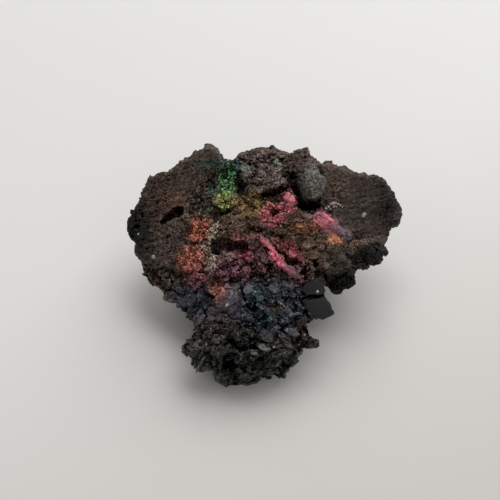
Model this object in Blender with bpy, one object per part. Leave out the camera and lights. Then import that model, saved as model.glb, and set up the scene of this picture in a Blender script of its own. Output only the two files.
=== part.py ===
"""An iridescent goethite specimen, one natural piece, as one closed faceted solid.

The specimen leans back on its underside and shows its display face: two broken wings, left and right, a
botryoidal hollow between them and a black knob at the foot. Its blocks are laid out in the frame of that
face, in millimetres: u runs across the face, v up along it and w out of it. The frame is then leaned back
to how the specimen rests, with +Z up and the front towards -Y. One skin fuses the blocks, pits and caves
are cut into it, it is broken up in relief, and its three feet are cut flat where it stands.

Run with: blender --background --python part.py
"""

import math

import bmesh
import bpy
from mathutils import Matrix, Vector, noise

# Driving dimensions, in millimetres unless the name says otherwise.
MM = 0.001
FACE_LEAN_DEG = 40.0  # from lying flat, how far the display face is raised towards the front
FACE_HEIGHT = 30.0  # height of the face frame's origin above the table
TRIANGLES = 9400
BLOCK_VOXEL = 0.7  # grid of the skin that fuses the blocks
PIT_VOXEL = 0.4  # grid of the pits' own skin
SKIN_VOXEL = 0.62  # grid of the finished skin
RIM = 1.2  # bevel round a slab's front face
BACK_TAPER = 0.86  # a slab's back outline, as a share of its front outline

LUMP_PITCH = 3.4  # spacing of the kidney-like lumps of the hollow
LUMP_HEIGHT = 0.9
BREAK_PITCH = 6.0  # spacing of the broken facets of the knob and back
BREAK_HEIGHT = 1.5
SPLINTER_PITCH = 2.6  # spacing of the small facets on them
SPLINTER_HEIGHT = 0.5
FIBRE_PITCH = 2.4  # spacing of the low fibres of the wings, across them
FIBRE_HEIGHT = 0.22


def face_matrix():
    """Turns face coordinates in millimetres into the specimen's own frame, in metres."""
    lift = Matrix.Translation((0.0, 0.0, FACE_HEIGHT * MM))
    return lift @ Matrix.Rotation(math.radians(FACE_LEAN_DEG), 4, "X") @ Matrix.Scale(MM, 4)


FACE = face_matrix()
TABLE = Matrix.Scale(MM, 4)  # for blocks given as x, y, z above the table, in millimetres


def clear_scene():
    for obj in list(bpy.data.objects):
        bpy.data.objects.remove(obj)


def add_object(name, mesh):
    obj = bpy.data.objects.new(name, mesh)
    bpy.context.scene.collection.objects.link(obj)
    return obj


def finish_block(shape, place):
    """The bmesh as a mesh, placed and with its faces pointing out."""
    bmesh.ops.recalc_face_normals(shape, faces=shape.faces)
    shape.transform(place)
    mesh = bpy.data.meshes.new("block")
    shape.to_mesh(mesh)
    shape.free()
    return mesh


def chunk(corners, place=FACE):
    """An angular block: the convex hull of its corners."""
    shape = bmesh.new()
    for corner in corners:
        shape.verts.new(corner)
    hull = bmesh.ops.convex_hull(shape, input=shape.verts)
    loose = [v for v in hull["geom_interior"] if isinstance(v, bmesh.types.BMVert)]
    bmesh.ops.delete(shape, geom=loose, context="VERTS")
    return finish_block(shape, place)


def slab(outline, front, lean=(0.0, 0.0), thickness=10.0, rim=RIM, taper=BACK_TAPER):
    """A broken plate: an outline in u, v, whose front face lies at w = front over the outline's middle and
    leans by lean, in millimetres per millimetre of u and v. Its back is smaller, so the sides slope in."""
    middle_u = sum(p[0] for p in outline) / len(outline)
    middle_v = sum(p[1] for p in outline) / len(outline)

    def ring(share, depth):
        points = []
        for u, v in outline:
            w = front + lean[0] * (u - middle_u) + lean[1] * (v - middle_v) - depth
            points.append((middle_u + (u - middle_u) * share, middle_v + (v - middle_v) * share, w))
        return points

    reach = max(math.hypot(u - middle_u, v - middle_v) for u, v in outline)
    rings = [ring(1.0 - rim / reach, 0.0), ring(1.0, rim), ring(taper, thickness)]
    shape = bmesh.new()
    loops = [[shape.verts.new(p) for p in points] for points in rings]
    count = len(outline)
    for upper, lower in zip(loops, loops[1:]):
        for i in range(count):
            j = (i + 1) % count
            shape.faces.new((upper[i], upper[j], lower[j], lower[i]))
    shape.faces.new(loops[0])
    shape.faces.new(reversed(loops[-1]))
    bmesh.ops.triangulate(shape, faces=shape.faces)
    return finish_block(shape, place=FACE)


def boss(centre, radii, turn_deg=0.0, place=FACE):
    """A rounded lump, its radii along u, v and w, turned in the plane of the face."""
    shape = bmesh.new()
    bmesh.ops.create_icosphere(shape, subdivisions=2, radius=1.0)
    turned = Matrix.Rotation(math.radians(turn_deg), 4, "Z") @ Matrix.Diagonal((*radii, 1.0))
    return finish_block(shape, place @ Matrix.Translation(centre) @ turned)


def ridge(spine):
    """A rounded ridge along a line of (u, v, w, radius) points, as one hull for each stretch."""
    blocks = []
    for stretch in zip(spine, spine[1:]):
        corners = []
        for u, v, w, radius in stretch:
            ball = bmesh.new()
            bmesh.ops.create_icosphere(ball, subdivisions=2, radius=radius)
            corners += [corner.co + Vector((u, v, w)) for corner in ball.verts]
            ball.free()
        blocks.append(chunk(corners))
    return blocks


def wings():
    """The two broken flanges of fibrous brown goethite."""
    left = [
        (-10.5, 29), (-13.3, 29.2), (-14.7, 32), (-16.7, 35), (-18.3, 34.8), (-21.5, 33.2), (-25, 30.6),
        (-29, 28.8), (-31.5, 26.2), (-35.5, 26.2), (-38.8, 23), (-40.2, 20), (-42.4, 14.5), (-45.8, 9),
        (-45.8, 4.5), (-42, 2.5),
        (-43, -1.5), (-39.5, -7.5), (-38.5, -11.5), (-34, -14), (-31, -16.5), (-26.5, -20), (-22, -24),
        (-13, -24.5), (-8, -13), (-9, 9.5),
    ]  # fmt: skip
    right = [
        (11.5, 27.5), (16.5, 29), (18.5, 28), (20, 28.6), (27.5, 27), (30.6, 25.5), (31.6, 24.8),
        (32.2, 26.2), (33.8, 26.2), (34.2, 24.6), (36, 25.8), (39, 24.4), (41.6, 21.8), (43.4, 18.5),
        (46.8, 11.8), (46, 9), (44.6, 7.8), (41.6, 7.6), (39.8, 4.6), (39, 2), (28, 2.5), (17.5, 3.5),
        (11.5, 11.5),
    ]  # fmt: skip
    return [
        slab(left, front=-7.0, lean=(0.28, 0.03), thickness=12.0),
        slab(right, front=-7.5, lean=(-0.3, 0.02), thickness=12.0),
        chunk([(-44, 3, -13), (-45.6, 4.6, -13), (-45.5, 9, -12), (-42.5, 13, -11), (-40, 8, -9.5),
               (-41, 2.5, -10), (-44, 6, -17)]),  # knot on the left wing's tip
        chunk([(-14, 28, -4), (-16.4, 34, -5), (-22, 31.6, -6.5), (-19, 27, -4), (-16, 30, -12),
               (-12, 26, -3)]),
        chunk([(-37.5, -11, -12), (-34, -13.5, -9), (-30, -16, -7.5), (-30, -10, -6), (-24, -12, -2.5),
               (-27, -19, -7), (-30, -12, -16), (-22, -16, -14)]),  # dark foot of the left wing
        chunk([(-27.5, -12, -5), (-22, -12, -1.5), (-18, -13, 1), (-17, -21, 0.5), (-21.5, -24.5, -3),
               (-25, -22, -5.5), (-25.5, -17, -3), (-20, -16, 0), (-20, -20, -12)]),
        chunk([(-26, -14, -2.5), (-24, -13.5, -0.5), (-22.5, -19, -0.5), (-24, -22, -3), (-24, -17, -7)]),
    ]  # fmt: skip


def core():
    """The mass behind the face, down to the table."""
    return [
        chunk([(-19, -20, 5), (10, -20, 4), (15, -8, 3), (-22, -6, 6), (-22, 8, 2.5), (21, 8, 2.5),
               (-13, 26, 2.5), (16, 28, 2.5), (-17, 22, 40), (14, 22, 40), (0, 27, 43), (-22, 8, 24),
               (23, 8, 23), (-14, -16, 13), (10, -16, 13), (-8, 31, 38), (12, 32, 36), (-17, 32, 24),
               (18, 31, 20)], TABLE),
        chunk([(-21, 7, -3), (-13, 9, -3), (-9, 21, -3), (-17, 27, -3), (-24, 18, -3), (-12, 12, 9),
               (-22, 24, 12), (-26, 10, 12)], TABLE),  # back left foot
        chunk([(10, 11, -3), (18, 7, -3), (23, 17, -3), (19, 27, -3), (9, 26, -3), (11, 14, 9), (24, 20, 12),
               (16, 30, 12)], TABLE),  # back right foot
        chunk([(-38, -6, -14), (-28, -14, -12), (-20, -20, -10), (-12, -10, -6), (-14, 20, -8),
               (-34, 20, -15), (-20, 0, -26), (-18, 18, -26), (-16, -14, -20)]),
        chunk([(36, 6, -16), (30, 22, -14), (14, 24, -8), (14, 4, -6), (26, 2, -12), (18, 12, -30),
               (16, 0, -24)]),
    ]  # fmt: skip


def crown():
    """The ridge between the wings, its hanging edge, the little horn on top and the green ridge."""
    outline = [
        (-12.8, 28.8), (-10.4, 29.6), (-8, 31.6), (-4, 33), (-1, 33.4), (6, 32), (8.4, 32), (10.6, 33),
        (12.8, 33.4), (15, 33.2), (15.2, 31.4), (16.4, 28.6), (18.5, 16), (8, 11.5), (-8, 11.5),
        (-12, 19.5),
    ]  # fmt: skip
    return [
        slab(outline, front=-2.5, lean=(0.0, -0.1), thickness=12.0),
        chunk([(-8, 27, -2), (5, 28, -2), (8, 23, 0), (6, 19.5, 3), (3, 19, 3.5), (-2, 18, 4),
               (-5.5, 20, 3.5), (-6, 24, 3), (3, 24, 3), (-7, 20, -6), (6, 19, -6)]),  # mass over the cave
        chunk([(-1, 32, -5), (0.4, 34.2, -5), (3.6, 36, -5.5), (4.1, 35.4, -5.4), (3.2, 32, -4.5),
               (0, 32, -8), (3, 33, -7.5)]),  # horn
        chunk([(9, 28, -3), (11, 32.6, -4.5), (15, 33, -5), (17, 27, -2), (14, 24, 0), (10, 25, -1),
               (13, 28, -10)]),
        chunk([(-14.5, 27.4, -3), (-9.5, 28.6, -2.5), (-8.5, 22, 0.5), (-10, 17, 2), (-11.5, 14, 4),
               (-15, 13, 4), (-18, 14.5, 2), (-17, 18, 0.5), (-15, 23, -0.5), (-13, 18, 3.5),
               (-13, 20, -9)]),
        boss((15.0, 20.8, 0.4), (4.3, 5.6, 4.6)),  # grey lump
        boss((14.5, 25.5, -2.0), (3.6, 3.2, 3.0)),
        boss((-5.0, 29.0, -3.0), (2.6, 2.2, 2.0)),
        boss((1.0, 25.5, 0.5), (2.2, 2.2, 2.2)),
    ]  # fmt: skip


def shelves():
    """The two shelves across the middle of the hollow, and the slopes around them."""
    middle = [
        (-16, 9), (-12.5, 11), (-6.5, 12), (-1, 11.5), (6.5, 8), (8, 4), (3, 2), (-1, 3), (-4.5, 2),
        (-10.5, 3), (-15, 4), (-16.5, 6.5),
    ]  # fmt: skip
    right = [(5.5, 13), (10, 14.5), (14, 13.5), (17, 12), (17.5, 9), (15.5, 6.5), (12, 5.5), (8, 7)]
    return [
        slab(middle, front=5.3, lean=(0.02, -0.06), thickness=5.5),
        slab(right, front=3.6, lean=(-0.12, -0.05), thickness=9.0),
        chunk([(-11.5, 17.5, -1), (-1, 18, -1), (2, 13, 3.5), (0, 10, 5), (-11, 10, 4.5), (-12.5, 13.5, 1.5),
               (-6, 14, 2.5), (-6, 14, -7)]),  # gold slope above the middle shelf
        chunk([(-25, 10, -5), (-19, 10.5, -1), (-15.5, 8, 2), (-16, 3, 2.5), (-21, 1, -1), (-26, 3, -4.5),
               (-20, 5, -12), (-19, 6, 1.5)]),  # orange patch against the left wing
        chunk([(14, 12.5, 3.2), (18.5, 13, 2.0), (23, 8.5, 1.0), (28.5, 4.5, -1.5), (24, 2.5, 0.0),
               (18, 4, 2.8), (14, 7, 3.6), (18, 8, -8), (25, 4, -8)]),  # smooth pink patch
        chunk([(7, 7, 3.5), (17, 5, 3.2), (24, 3.5, 0.5), (22, -1, 0.8), (16, -4.5, 2.2), (8, -3, 3),
               (3, 2, 3.5), (10, 0, -8), (18, 0, -8)]),  # olive slope under the right shelf
        *ridge([(6.2, 18.2, 2.6, 1.7), (8.2, 16, 3.6, 2.2), (9.4, 12.6, 3.8, 1.8)]),  # magenta fin
        boss((-0.3, 12.2, 4.4), (1.7, 1.7, 1.5)),
        boss((0.3, 9.4, 5.0), (1.7, 1.6, 1.4)),
        boss((2.8, 8.2, 5.0), (1.8, 1.5, 1.4)),
        boss((5.2, 10.2, 4.6), (1.8, 1.7, 1.5)),
        boss((4.4, 13.2, 4.0), (1.8, 1.6, 1.6)),
        boss((1.6, 13.8, 3.8), (1.5, 1.4, 1.6)),
        boss((12.6, 9.6, 3.8), (3.6, 2.6, 1.6)),
        boss((8.8, 4.2, 3.2), (2.4, 2.0, 1.8)),
        boss((13.6, 1.6, 3.0), (2.6, 2.2, 1.8)),
        boss((20.0, 1.6, 1.6), (2.6, 1.8, 1.6)),
    ]  # fmt: skip


def slope():
    """The botryoidal slope below the shelves, the pink ridge across it and the red bank at its left."""
    return [
        chunk([(-18, -1.5, 1.5), (-8, -1.5, 1.5), (-2, 0.5, 3), (1, -4, 3.6), (3, -9, 4), (-8, -9.5, 3.6),
               (-18, -9, 2), (-17, -5, 2.8), (-8, -6, 4.4), (-10, -4, -7), (-16, -6, -7), (0, -6, -6)]),
        chunk([(-28.5, 2, -6.5), (-28.5, -9, -6.5), (-24, -12.5, -3), (-24, 4, -4), (-17, 3, 1.5),
               (-16, -9, 2.6), (-19.5, -13.5, 0.8), (-22, -4, -0.4), (-20, 0, -14), (-26, -4, -13)]),
        chunk([(-19, -9, 1.5), (-13, -9.5, 3), (-12.5, -13, 4), (-14, -16, 4.2), (-18, -15.5, 2),
               (-20, -12, 0.5), (-16, -12, -6)]),  # coral patch
        *ridge([(-2.4, 4.6, 5.6, 1.3), (0.6, 2.2, 6.0, 1.7), (3.0, -1.4, 6.0, 1.9), (5.4, -4.6, 5.4, 1.9),
                (9.0, -7.4, 4.8, 1.7), (12.6, -9.6, 4.2, 1.3)]),
        boss((-6.0, -1.9, 4.0), (2.2, 1.8, 2.0)),
        boss((-11.4, -3.0, 3.2), (2.6, 2.0, 1.8)),
        boss((-15.6, -3.8, 2.4), (2.2, 2.2, 1.8)),
        boss((-2.2, -4.2, 4.2), (2.4, 2.2, 1.8)),
        boss((-8.2, -7.2, 4.0), (2.8, 2.0, 1.8)),
        boss((-13.8, -7.8, 3.0), (2.4, 2.2, 1.8)),
        boss((0.6, -7.6, 4.4), (2.6, 2.0, 1.8)),
        chunk([(-4, 1.5, 3.4), (0, 1, 4.6), (3, -3, 4.8), (7, -7.5, 4), (10, -10.5, 3.6), (2, -9.5, 4.4),
               (-2, -4, 4.6), (2, -4, -5)]),  # bank along the foot of the pink ridge
        boss((-19.6, -2.0, 0.4), (2.2, 2.4, 1.8)),
        boss((-23.0, -5.4, -1.8), (2.4, 2.6, 1.8)),
        boss((-24.0, 0.4, -3.2), (2.2, 2.4, 1.8)),
        boss((-20.2, -8.8, 0.2), (2.4, 2.2, 1.8)),
        chunk([(10, -3, 2.5), (12.5, -2.5, 3), (13, -6, 3), (11, -7.5, 3), (9, -6, 3), (11, -5, -6)]),
        chunk([(13.2, -2.5, 3.4), (14.6, -2.2, 3.4), (15.8, -6, 3.2), (15.4, -9.2, 3.4), (13.6, -8.6, 3.6),
               (14.4, -5, 4.2), (14.5, -5, -6)]),  # fin between the two pits
    ]  # fmt: skip


def right_block():
    """The blocky corner under the right wing, with its undercut facet, and the two grey tablets."""
    upper_tablet = [(11, -10), (17, -9), (20.2, -11.5), (19, -13.6), (14.5, -14), (11, -12.5)]
    lower_tablet = [(13, -15), (19.5, -14.6), (21.2, -17.5), (22.5, -20.2), (18.6, -22.8), (14.5, -21),
                    (12, -18)]
    return [
        chunk([(16, 3.5, 1), (22, 4, 0), (29, 4.5, -2.5), (38.6, 3, -5), (40.6, -0.4, -6), (37.6, -4.2, -5.4),
               (33, -5.5, -3.5), (29, -7.8, -2), (20, -8, 0.8), (17, -5, 2), (17, 0, 2.2), (26, -0.5, 1),
               (34, -0.5, -2), (22, 0, -12), (34, 0, -12), (20, -6, -11)]),
        chunk([(19.5, -7, 0.4), (29, -7, -2.2), (29.8, -11.2, -4.4), (23.2, -16.2, -5.8), (21.3, -12.6, -4.5),
               (19.5, -9.5, -2.5), (22, -8, -11), (27, -8, -11)]),
        slab(upper_tablet, front=4.6, lean=(-0.08, 0.05), thickness=3.4, rim=0.5),
        slab(lower_tablet, front=3.6, lean=(-0.1, 0.08), thickness=2.8, rim=0.5),
        chunk([(10, -8, 3), (15, -9, 3), (15, -22, 2), (10, -24, 3), (8, -16, 4), (10, -10, -8),
               (11, -20, -10), (14.5, -14, -5)]),  # what the tablets grow out of
    ]  # fmt: skip


def dark_centre():
    """The blue-black plates and the lilac boss between the slope and the knob."""
    return [
        boss((-11.2, -15.6, 3.0), (5.2, 6.2, 4.6), turn_deg=-12.0),
        boss((-15.6, -20.2, 1.2), (4.2, 2.6, 3.0), turn_deg=10.0),
        chunk([(-22, -18, -1), (-14, -17, 3), (-3, -10, 3), (8, -10, 4), (14, -12, 3), (15, -24, 4),
               (6, -25, 7), (-8, -25, 6.5), (-21, -25, 4), (-18, -22, -8), (10, -22, -8)]),
        chunk([(-7.5, -9, 4.5), (-1.5, -9.3, 5.5), (0, -12, 6.6), (-3, -14.6, 6.4), (-6.6, -12.4, 5.6),
               (-4, -11, 0)]),
        chunk([(-0.5, -10.6, 5), (6, -10.2, 6), (11, -11, 5.2), (11.5, -14.6, 5.6), (7, -15.8, 7.4),
               (1, -16, 7.8), (-1.4, -14, 7), (5, -13, 0)]),
        chunk([(-4, -14.8, 6), (0.5, -15.4, 7.2), (1, -18, 7.8), (-1.6, -20, 7.6), (-3, -17.4, 6.4),
               (-1, -17, 1)]),
        chunk([(0, -16.6, 6.6), (7, -16.4, 8), (8.8, -20.6, 8.2), (3, -23, 9.2), (-1.4, -22, 8.2),
               (3, -20, 1)]),
        chunk([(7.6, -15.2, 5.4), (14.6, -16, 4), (15.3, -22.4, 4.4), (10.5, -23.2, 7), (8, -19, 6.8),
               (11, -19, 0)]),
        chunk([(-9.6, -21.4, 4.8), (-4, -20.6, 6.6), (-1.6, -24, 8.4), (-5, -28, 9.2), (-11, -26.6, 8),
               (-12, -23.4, 6), (-7, -24, 0)]),
        chunk([(-1.6, -22.6, 7.6), (4, -23, 9), (7.5, -26.6, 9.6), (2, -29.6, 10.4), (-3, -27.4, 9.4),
               (2, -26, 2)]),
        chunk([(7, -23.4, 7), (15.2, -22.8, 4.8), (16.2, -26, 4.8), (15.4, -27.6, 5.6), (12.8, -31, 6.4),
               (7.6, -30, 8.6), (10, -26, 0)]),
    ]  # fmt: skip


def knob():
    """The black knob at the foot: its level top, its ledge and the blocks of its steep front."""
    return [
        chunk([(-22, -24.4, 4.4), (-12, -24, 6.6), (-9.4, -31.6, 10.6), (-20, -31.4, 9.4), (-27.2, -32, 6.2),
               (-26, -29.6, 5), (-26.8, -33, 4.2), (-12, -33.4, 9.6), (-20, -30, -8), (-10, -28, -10)]),
        chunk([(-12, -24, 6), (6, -24, 8), (10.5, -31, 8), (-2, -31.8, 11), (-12, -31.8, 10.8), (-10, -34, 9),
               (6, -34, 7), (-8, -28, -10), (6, -28, -10)]),
        chunk([(-24, -32, 6.4), (-23.8, -37.4, 3.2), (-21.8, -41.2, 0.2), (-19.2, -40.4, 0.8),
               (-17.2, -38.4, 3), (-17, -32, 8.4), (-18, -33, -6), (-21, -36, -3)]),
        chunk([(-18.4, -32, 8.6), (-12.4, -32, 10), (-12.2, -37, 6.6), (-14.2, -42.6, 0), (-16.8, -39.4, 2.6),
               (-18, -36, 5.6), (-15, -34, -8), (-13.4, -41, -3)]),
        chunk([(-13.4, -36, 6.6), (-10.6, -36, 6.4), (-9, -44.6, -1.6), (-12, -44, -1.2),
               (-14.2, -42.6, -0.6), (-11.5, -38, -8), (-10.5, -44, -4)]),
        chunk([(-10.2, -32, 10.6), (-1.8, -32.2, 10.4), (-1.8, -37, 7), (-2.6, -42, 0.2), (-6.4, -42.2, 0.2),
               (-8.6, -44.4, -1.4), (-10, -38, 5.8), (-6, -34, -10), (-7, -41, -6)]),
        chunk([(-1.2, -31.8, 9.6), (11.8, -31.2, 7), (12.6, -32.4, 6), (10.8, -34.2, 5.4), (4, -36, 6.6),
               (-1, -36.6, 7.6), (4, -33, -4)]),
        chunk([(-1, -35.6, 6), (5, -34.8, 5.8), (11.6, -33.6, 4.8), (10.8, -36.4, 3), (8.4, -38.8, 2),
               (0, -39, 4), (4, -34, -4)]),
        chunk([(-2, -38, 3.6), (8.6, -37.6, 2), (6.6, -39.9, 0.9), (2.8, -41.2, 0), (-0.6, -43.4, -0.6),
               (-2.6, -41.6, 0.4), (2, -36, -5)]),
        chunk([(12.8, -26, 5), (15.4, -27.6, 5.2), (15.8, -30.2, 5), (13.2, -31.8, 5.4), (8, -31, 7),
               (10, -28, -6)]),
        boss((-14.6, -36.4, 4.6), (2.6, 5.2, 3.6), turn_deg=-4.0),
        boss((-6.4, -35.6, 6.2), (4.4, 4.6, 4.0)),
        boss((-20.4, -35.4, 4.6), (2.6, 2.8, 3.2)),
        boss((3.6, -33.6, 6.8), (3.6, 2.4, 3.0)),
        chunk([(-13, -33.5, -3), (-6, -34.5, -3), (-3, -29, -3), (-12, -26, -3), (-1, -28, 4), (-16, -28, 4),
               (-15, -14, 8), (6, -16, 8), (8, -24, 8)], TABLE),  # front foot
    ]  # fmt: skip


def pits():
    """Where the skin is open: slots, caves and clefts, as (centre, radii, turn in degrees)."""
    return [
        ((-30.0, 11.6, -7.6), (4.2, 1.5, 3.4), 38.0),  # slot in the left wing
        ((-40.3, 11.6, -9.5), (0.9, 1.9, 2.0), 0.0),
        ((-15.4, 11.8, 2.4), (5.0, 1.4, 6.6), 4.0),  # under the green ridge
        ((-12.0, 12.6, 2.4), (2.6, 1.2, 5.6), 24.0),
        ((-7.7, 21.4, 2.2), (0.9, 2.4, 4.6), 0.0),
        ((1.0, 17.6, 2.6), (4.6, 1.7, 7.2), 6.0),  # under the mauve mass
        ((4.6, 18.8, 2.2), (2.8, 2.4, 6.4), 20.0),
        ((8.3, 23.4, 0.0), (3.2, 2.8, 5.2), -24.0),
        ((9.6, 20.2, 0.0), (1.7, 3.1, 5.0), 10.0),
        ((10.7, 17.4, 0.4), (1.5, 2.9, 5.6), 16.0),
        ((14.0, 14.5, 0.8), (4.8, 1.7, 6.4), -4.0),  # under the grey lump
        ((18.0, 16.2, 0.4), (1.2, 2.1, 4.6), -10.0),
        ((-10.8, 1.6, 3.6), (6.4, 1.8, 8.0), -13.0),  # under the middle shelf
        ((-6.8, 0.2, 3.6), (2.4, 1.4, 6.0), 10.0),
        ((3.8, 4.6, 4.8), (2.9, 1.3, 4.0), -14.0),
        ((6.8, 3.2, 4.2), (1.3, 1.5, 3.4), 0.0),
        ((10.0, -3.8, 3.4), (2.4, 1.6, 5.0), -30.0),  # beside the pink ridge
        ((12.6, -7.6, 3.2), (1.1, 2.4, 4.2), 8.0),
        ((16.4, -4.0, 2.6), (1.2, 2.1, 4.6), -10.0),
        ((-3.8, -18.2, 6.8), (1.4, 1.7, 5.4), 0.0),
        ((-9.6, -9.7, 4.8), (3.6, 1.0, 4.2), 10.0),
        ((-6.1, -14.5, 6.0), (1.0, 3.8, 4.4), 12.0),
        ((-11.2, -36.0, 8.0), (1.2, 4.2, 6.0), 2.0),  # cleft in the knob's front
        ((-1.5, -34.4, 10.0), (1.0, 3.2, 6.0), 0.0),
    ]


def fuse(blocks):
    """All blocks in one object, under one skin."""
    joined = bmesh.new()
    for mesh in blocks:
        joined.from_mesh(mesh)
        bpy.data.meshes.remove(mesh)
    mesh = bpy.data.meshes.new("goethite_specimen")
    joined.to_mesh(mesh)
    joined.free()
    specimen = add_object("goethite_specimen", mesh)
    add_skin(specimen, BLOCK_VOXEL)
    bake(specimen)
    return specimen


def add_skin(specimen, voxel):
    skin = specimen.modifiers.new("skin", "REMESH")
    skin.mode = "VOXEL"
    skin.voxel_size = voxel * MM


def bake(specimen):
    """Puts the mesh that the modifiers make in the place of the mesh they start from."""
    graph = bpy.context.evaluated_depsgraph_get()
    mesh = bpy.data.meshes.new_from_object(specimen.evaluated_get(graph))
    worn = specimen.data
    specimen.modifiers.clear()
    specimen.data = mesh
    bpy.data.meshes.remove(worn)


def cut_pits(specimen):
    joined = bmesh.new()
    for centre, radii, turn_deg in pits():
        mesh = boss(centre, radii, turn_deg)
        joined.from_mesh(mesh)
        bpy.data.meshes.remove(mesh)
    mesh = bpy.data.meshes.new("pits")
    joined.to_mesh(mesh)
    joined.free()
    cutter = add_object("pits", mesh)
    add_skin(cutter, PIT_VOXEL)
    bake(cutter)
    cut = specimen.modifiers.new("pits", "BOOLEAN")
    cut.operation = "DIFFERENCE"
    cut.object = cutter
    bake(specimen)
    bpy.data.meshes.remove(cutter.data)


def smooth_step(low, high, value):
    share = min(1.0, max(0.0, (value - low) / (high - low)))
    return share * share * (3.0 - 2.0 * share)


def lumps(spot, pitch):
    """Round lumps with creases between them: 1 on a lump's top, 0 in a crease."""
    nearest = noise.voronoi(spot / pitch)[0][0]
    return 1.0 - min(1.0, nearest / 0.7) ** 2


def facets(spot, pitch):
    """Flat facets at odd tilts, with steps where they meet, from -1 to 1."""
    seed = noise.voronoi(spot / pitch)[1][0]
    tilt = Vector([noise.noise(seed * 37.7 + Vector((offset, 7.7, 1.3))) for offset in (3.1, 23.3, 43.9)])
    return max(-1.0, min(1.0, 1.3 * tilt.normalized().dot(spot / pitch - seed)))


def relief(spot, normal):
    """How far the skin stands out at a spot, all in face coordinates and millimetres."""
    u, v, w = spot
    to_front = smooth_step(-0.1, 0.45, normal.z)
    hollow = 1.0 - smooth_step(0.8, 1.12, math.hypot((u + 3.5) / 23.0, (v - 4.0) / 28.0))
    foot = smooth_step(-19.0, -24.0, v)
    wing = to_front * (1.0 - hollow) * (1.0 - foot)
    crust = to_front * hollow * (1.0 - foot)
    broken = max(0.0, 1.0 - wing - crust)
    fibres = noise.noise(Vector((u / 9.0, v / FIBRE_PITCH, w / 9.0)))
    return (
        crust * LUMP_HEIGHT * (lumps(spot, LUMP_PITCH) - 0.5)
        + broken * BREAK_HEIGHT * facets(spot, BREAK_PITCH)
        + (0.35 + 0.65 * broken) * SPLINTER_HEIGHT * facets(spot, SPLINTER_PITCH)
        + wing * FIBRE_HEIGHT * fibres
    )


def break_up(specimen):
    to_face = FACE.inverted()
    turn = to_face.to_3x3()
    moved = [vert.co + vert.normal * (relief(to_face @ vert.co, (turn @ vert.normal).normalized()) * MM)
             for vert in specimen.data.vertices]
    for vert, place in zip(specimen.data.vertices, moved):
        vert.co = place
    add_skin(specimen, SKIN_VOXEL)
    bake(specimen)


def thin_out(specimen):
    """Fewer triangles where the skin is flat."""
    specimen.data.calc_loop_triangles()
    thin = specimen.modifiers.new("thin", "DECIMATE")
    thin.ratio = TRIANGLES / len(specimen.data.loop_triangles)
    bake(specimen)


def islands(shape):
    """The groups of vertices that hang together."""
    left = set(shape.verts)
    groups = []
    while left:
        group = {left.pop()}
        edge = list(group)
        while edge:
            for link in edge.pop().link_edges:
                for vert in link.verts:
                    if vert in left:
                        left.discard(vert)
                        group.add(vert)
                        edge.append(vert)
        groups.append(group)
    return groups


def stand(specimen):
    """Cuts the feet flat at the table, keeps the one outer shell and centres it over the origin."""
    shape = bmesh.new()
    shape.from_mesh(specimen.data)
    everything = list(shape.verts) + list(shape.edges) + list(shape.faces)
    bmesh.ops.bisect_plane(shape, geom=everything, dist=1e-6, plane_co=(0, 0, 0), plane_no=(0, 0, 1),
                           clear_inner=True)
    for group in sorted(islands(shape), key=len)[:-1]:
        bmesh.ops.delete(shape, geom=list(group), context="VERTS")
    rims = [edge for edge in shape.edges if edge.is_boundary]
    bmesh.ops.holes_fill(shape, edges=rims, sides=0)
    bmesh.ops.triangulate(shape, faces=shape.faces)
    bmesh.ops.recalc_face_normals(shape, faces=shape.faces)
    low = [min(vert.co[axis] for vert in shape.verts) for axis in range(3)]
    high = [max(vert.co[axis] for vert in shape.verts) for axis in range(3)]
    middle = Vector(((low[0] + high[0]) / 2.0, (low[1] + high[1]) / 2.0, low[2]))
    bmesh.ops.translate(shape, verts=shape.verts, vec=-middle)
    shape.to_mesh(specimen.data)
    shape.free()


def dress(specimen):
    """Dark brown goethite, dull with a slight metallic sheen."""
    stone = bpy.data.materials.new("goethite")
    stone.use_nodes = True
    surface = stone.node_tree.nodes["Principled BSDF"]
    surface.inputs["Base Color"].default_value = (0.043, 0.032, 0.026, 1.0)
    surface.inputs["Roughness"].default_value = 0.62
    surface.inputs["Metallic"].default_value = 0.15
    specimen.data.materials.clear()
    specimen.data.materials.append(stone)


def main():
    clear_scene()
    blocks = wings() + core() + crown() + shelves() + slope() + right_block() + dark_centre() + knob()
    specimen = fuse(blocks)
    cut_pits(specimen)
    break_up(specimen)
    thin_out(specimen)
    stand(specimen)
    dress(specimen)


if __name__ == "__main__":
    main()
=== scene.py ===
"""Dresses the iridescent goethite specimen: its broken wings, botryoidal hollow, blue-black plates and knob.

Places are given in the frame of the specimen's display face, in millimetres: u runs across the face, v up
along it and w out of it. The frame leans back from the table by FACE_LEAN_DEG.
"""

import math

import bpy
import numpy as np
from mathutils import Color, Matrix, Vector
from mathutils.bvhtree import BVHTree
from mathutils.kdtree import KDTree


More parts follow.
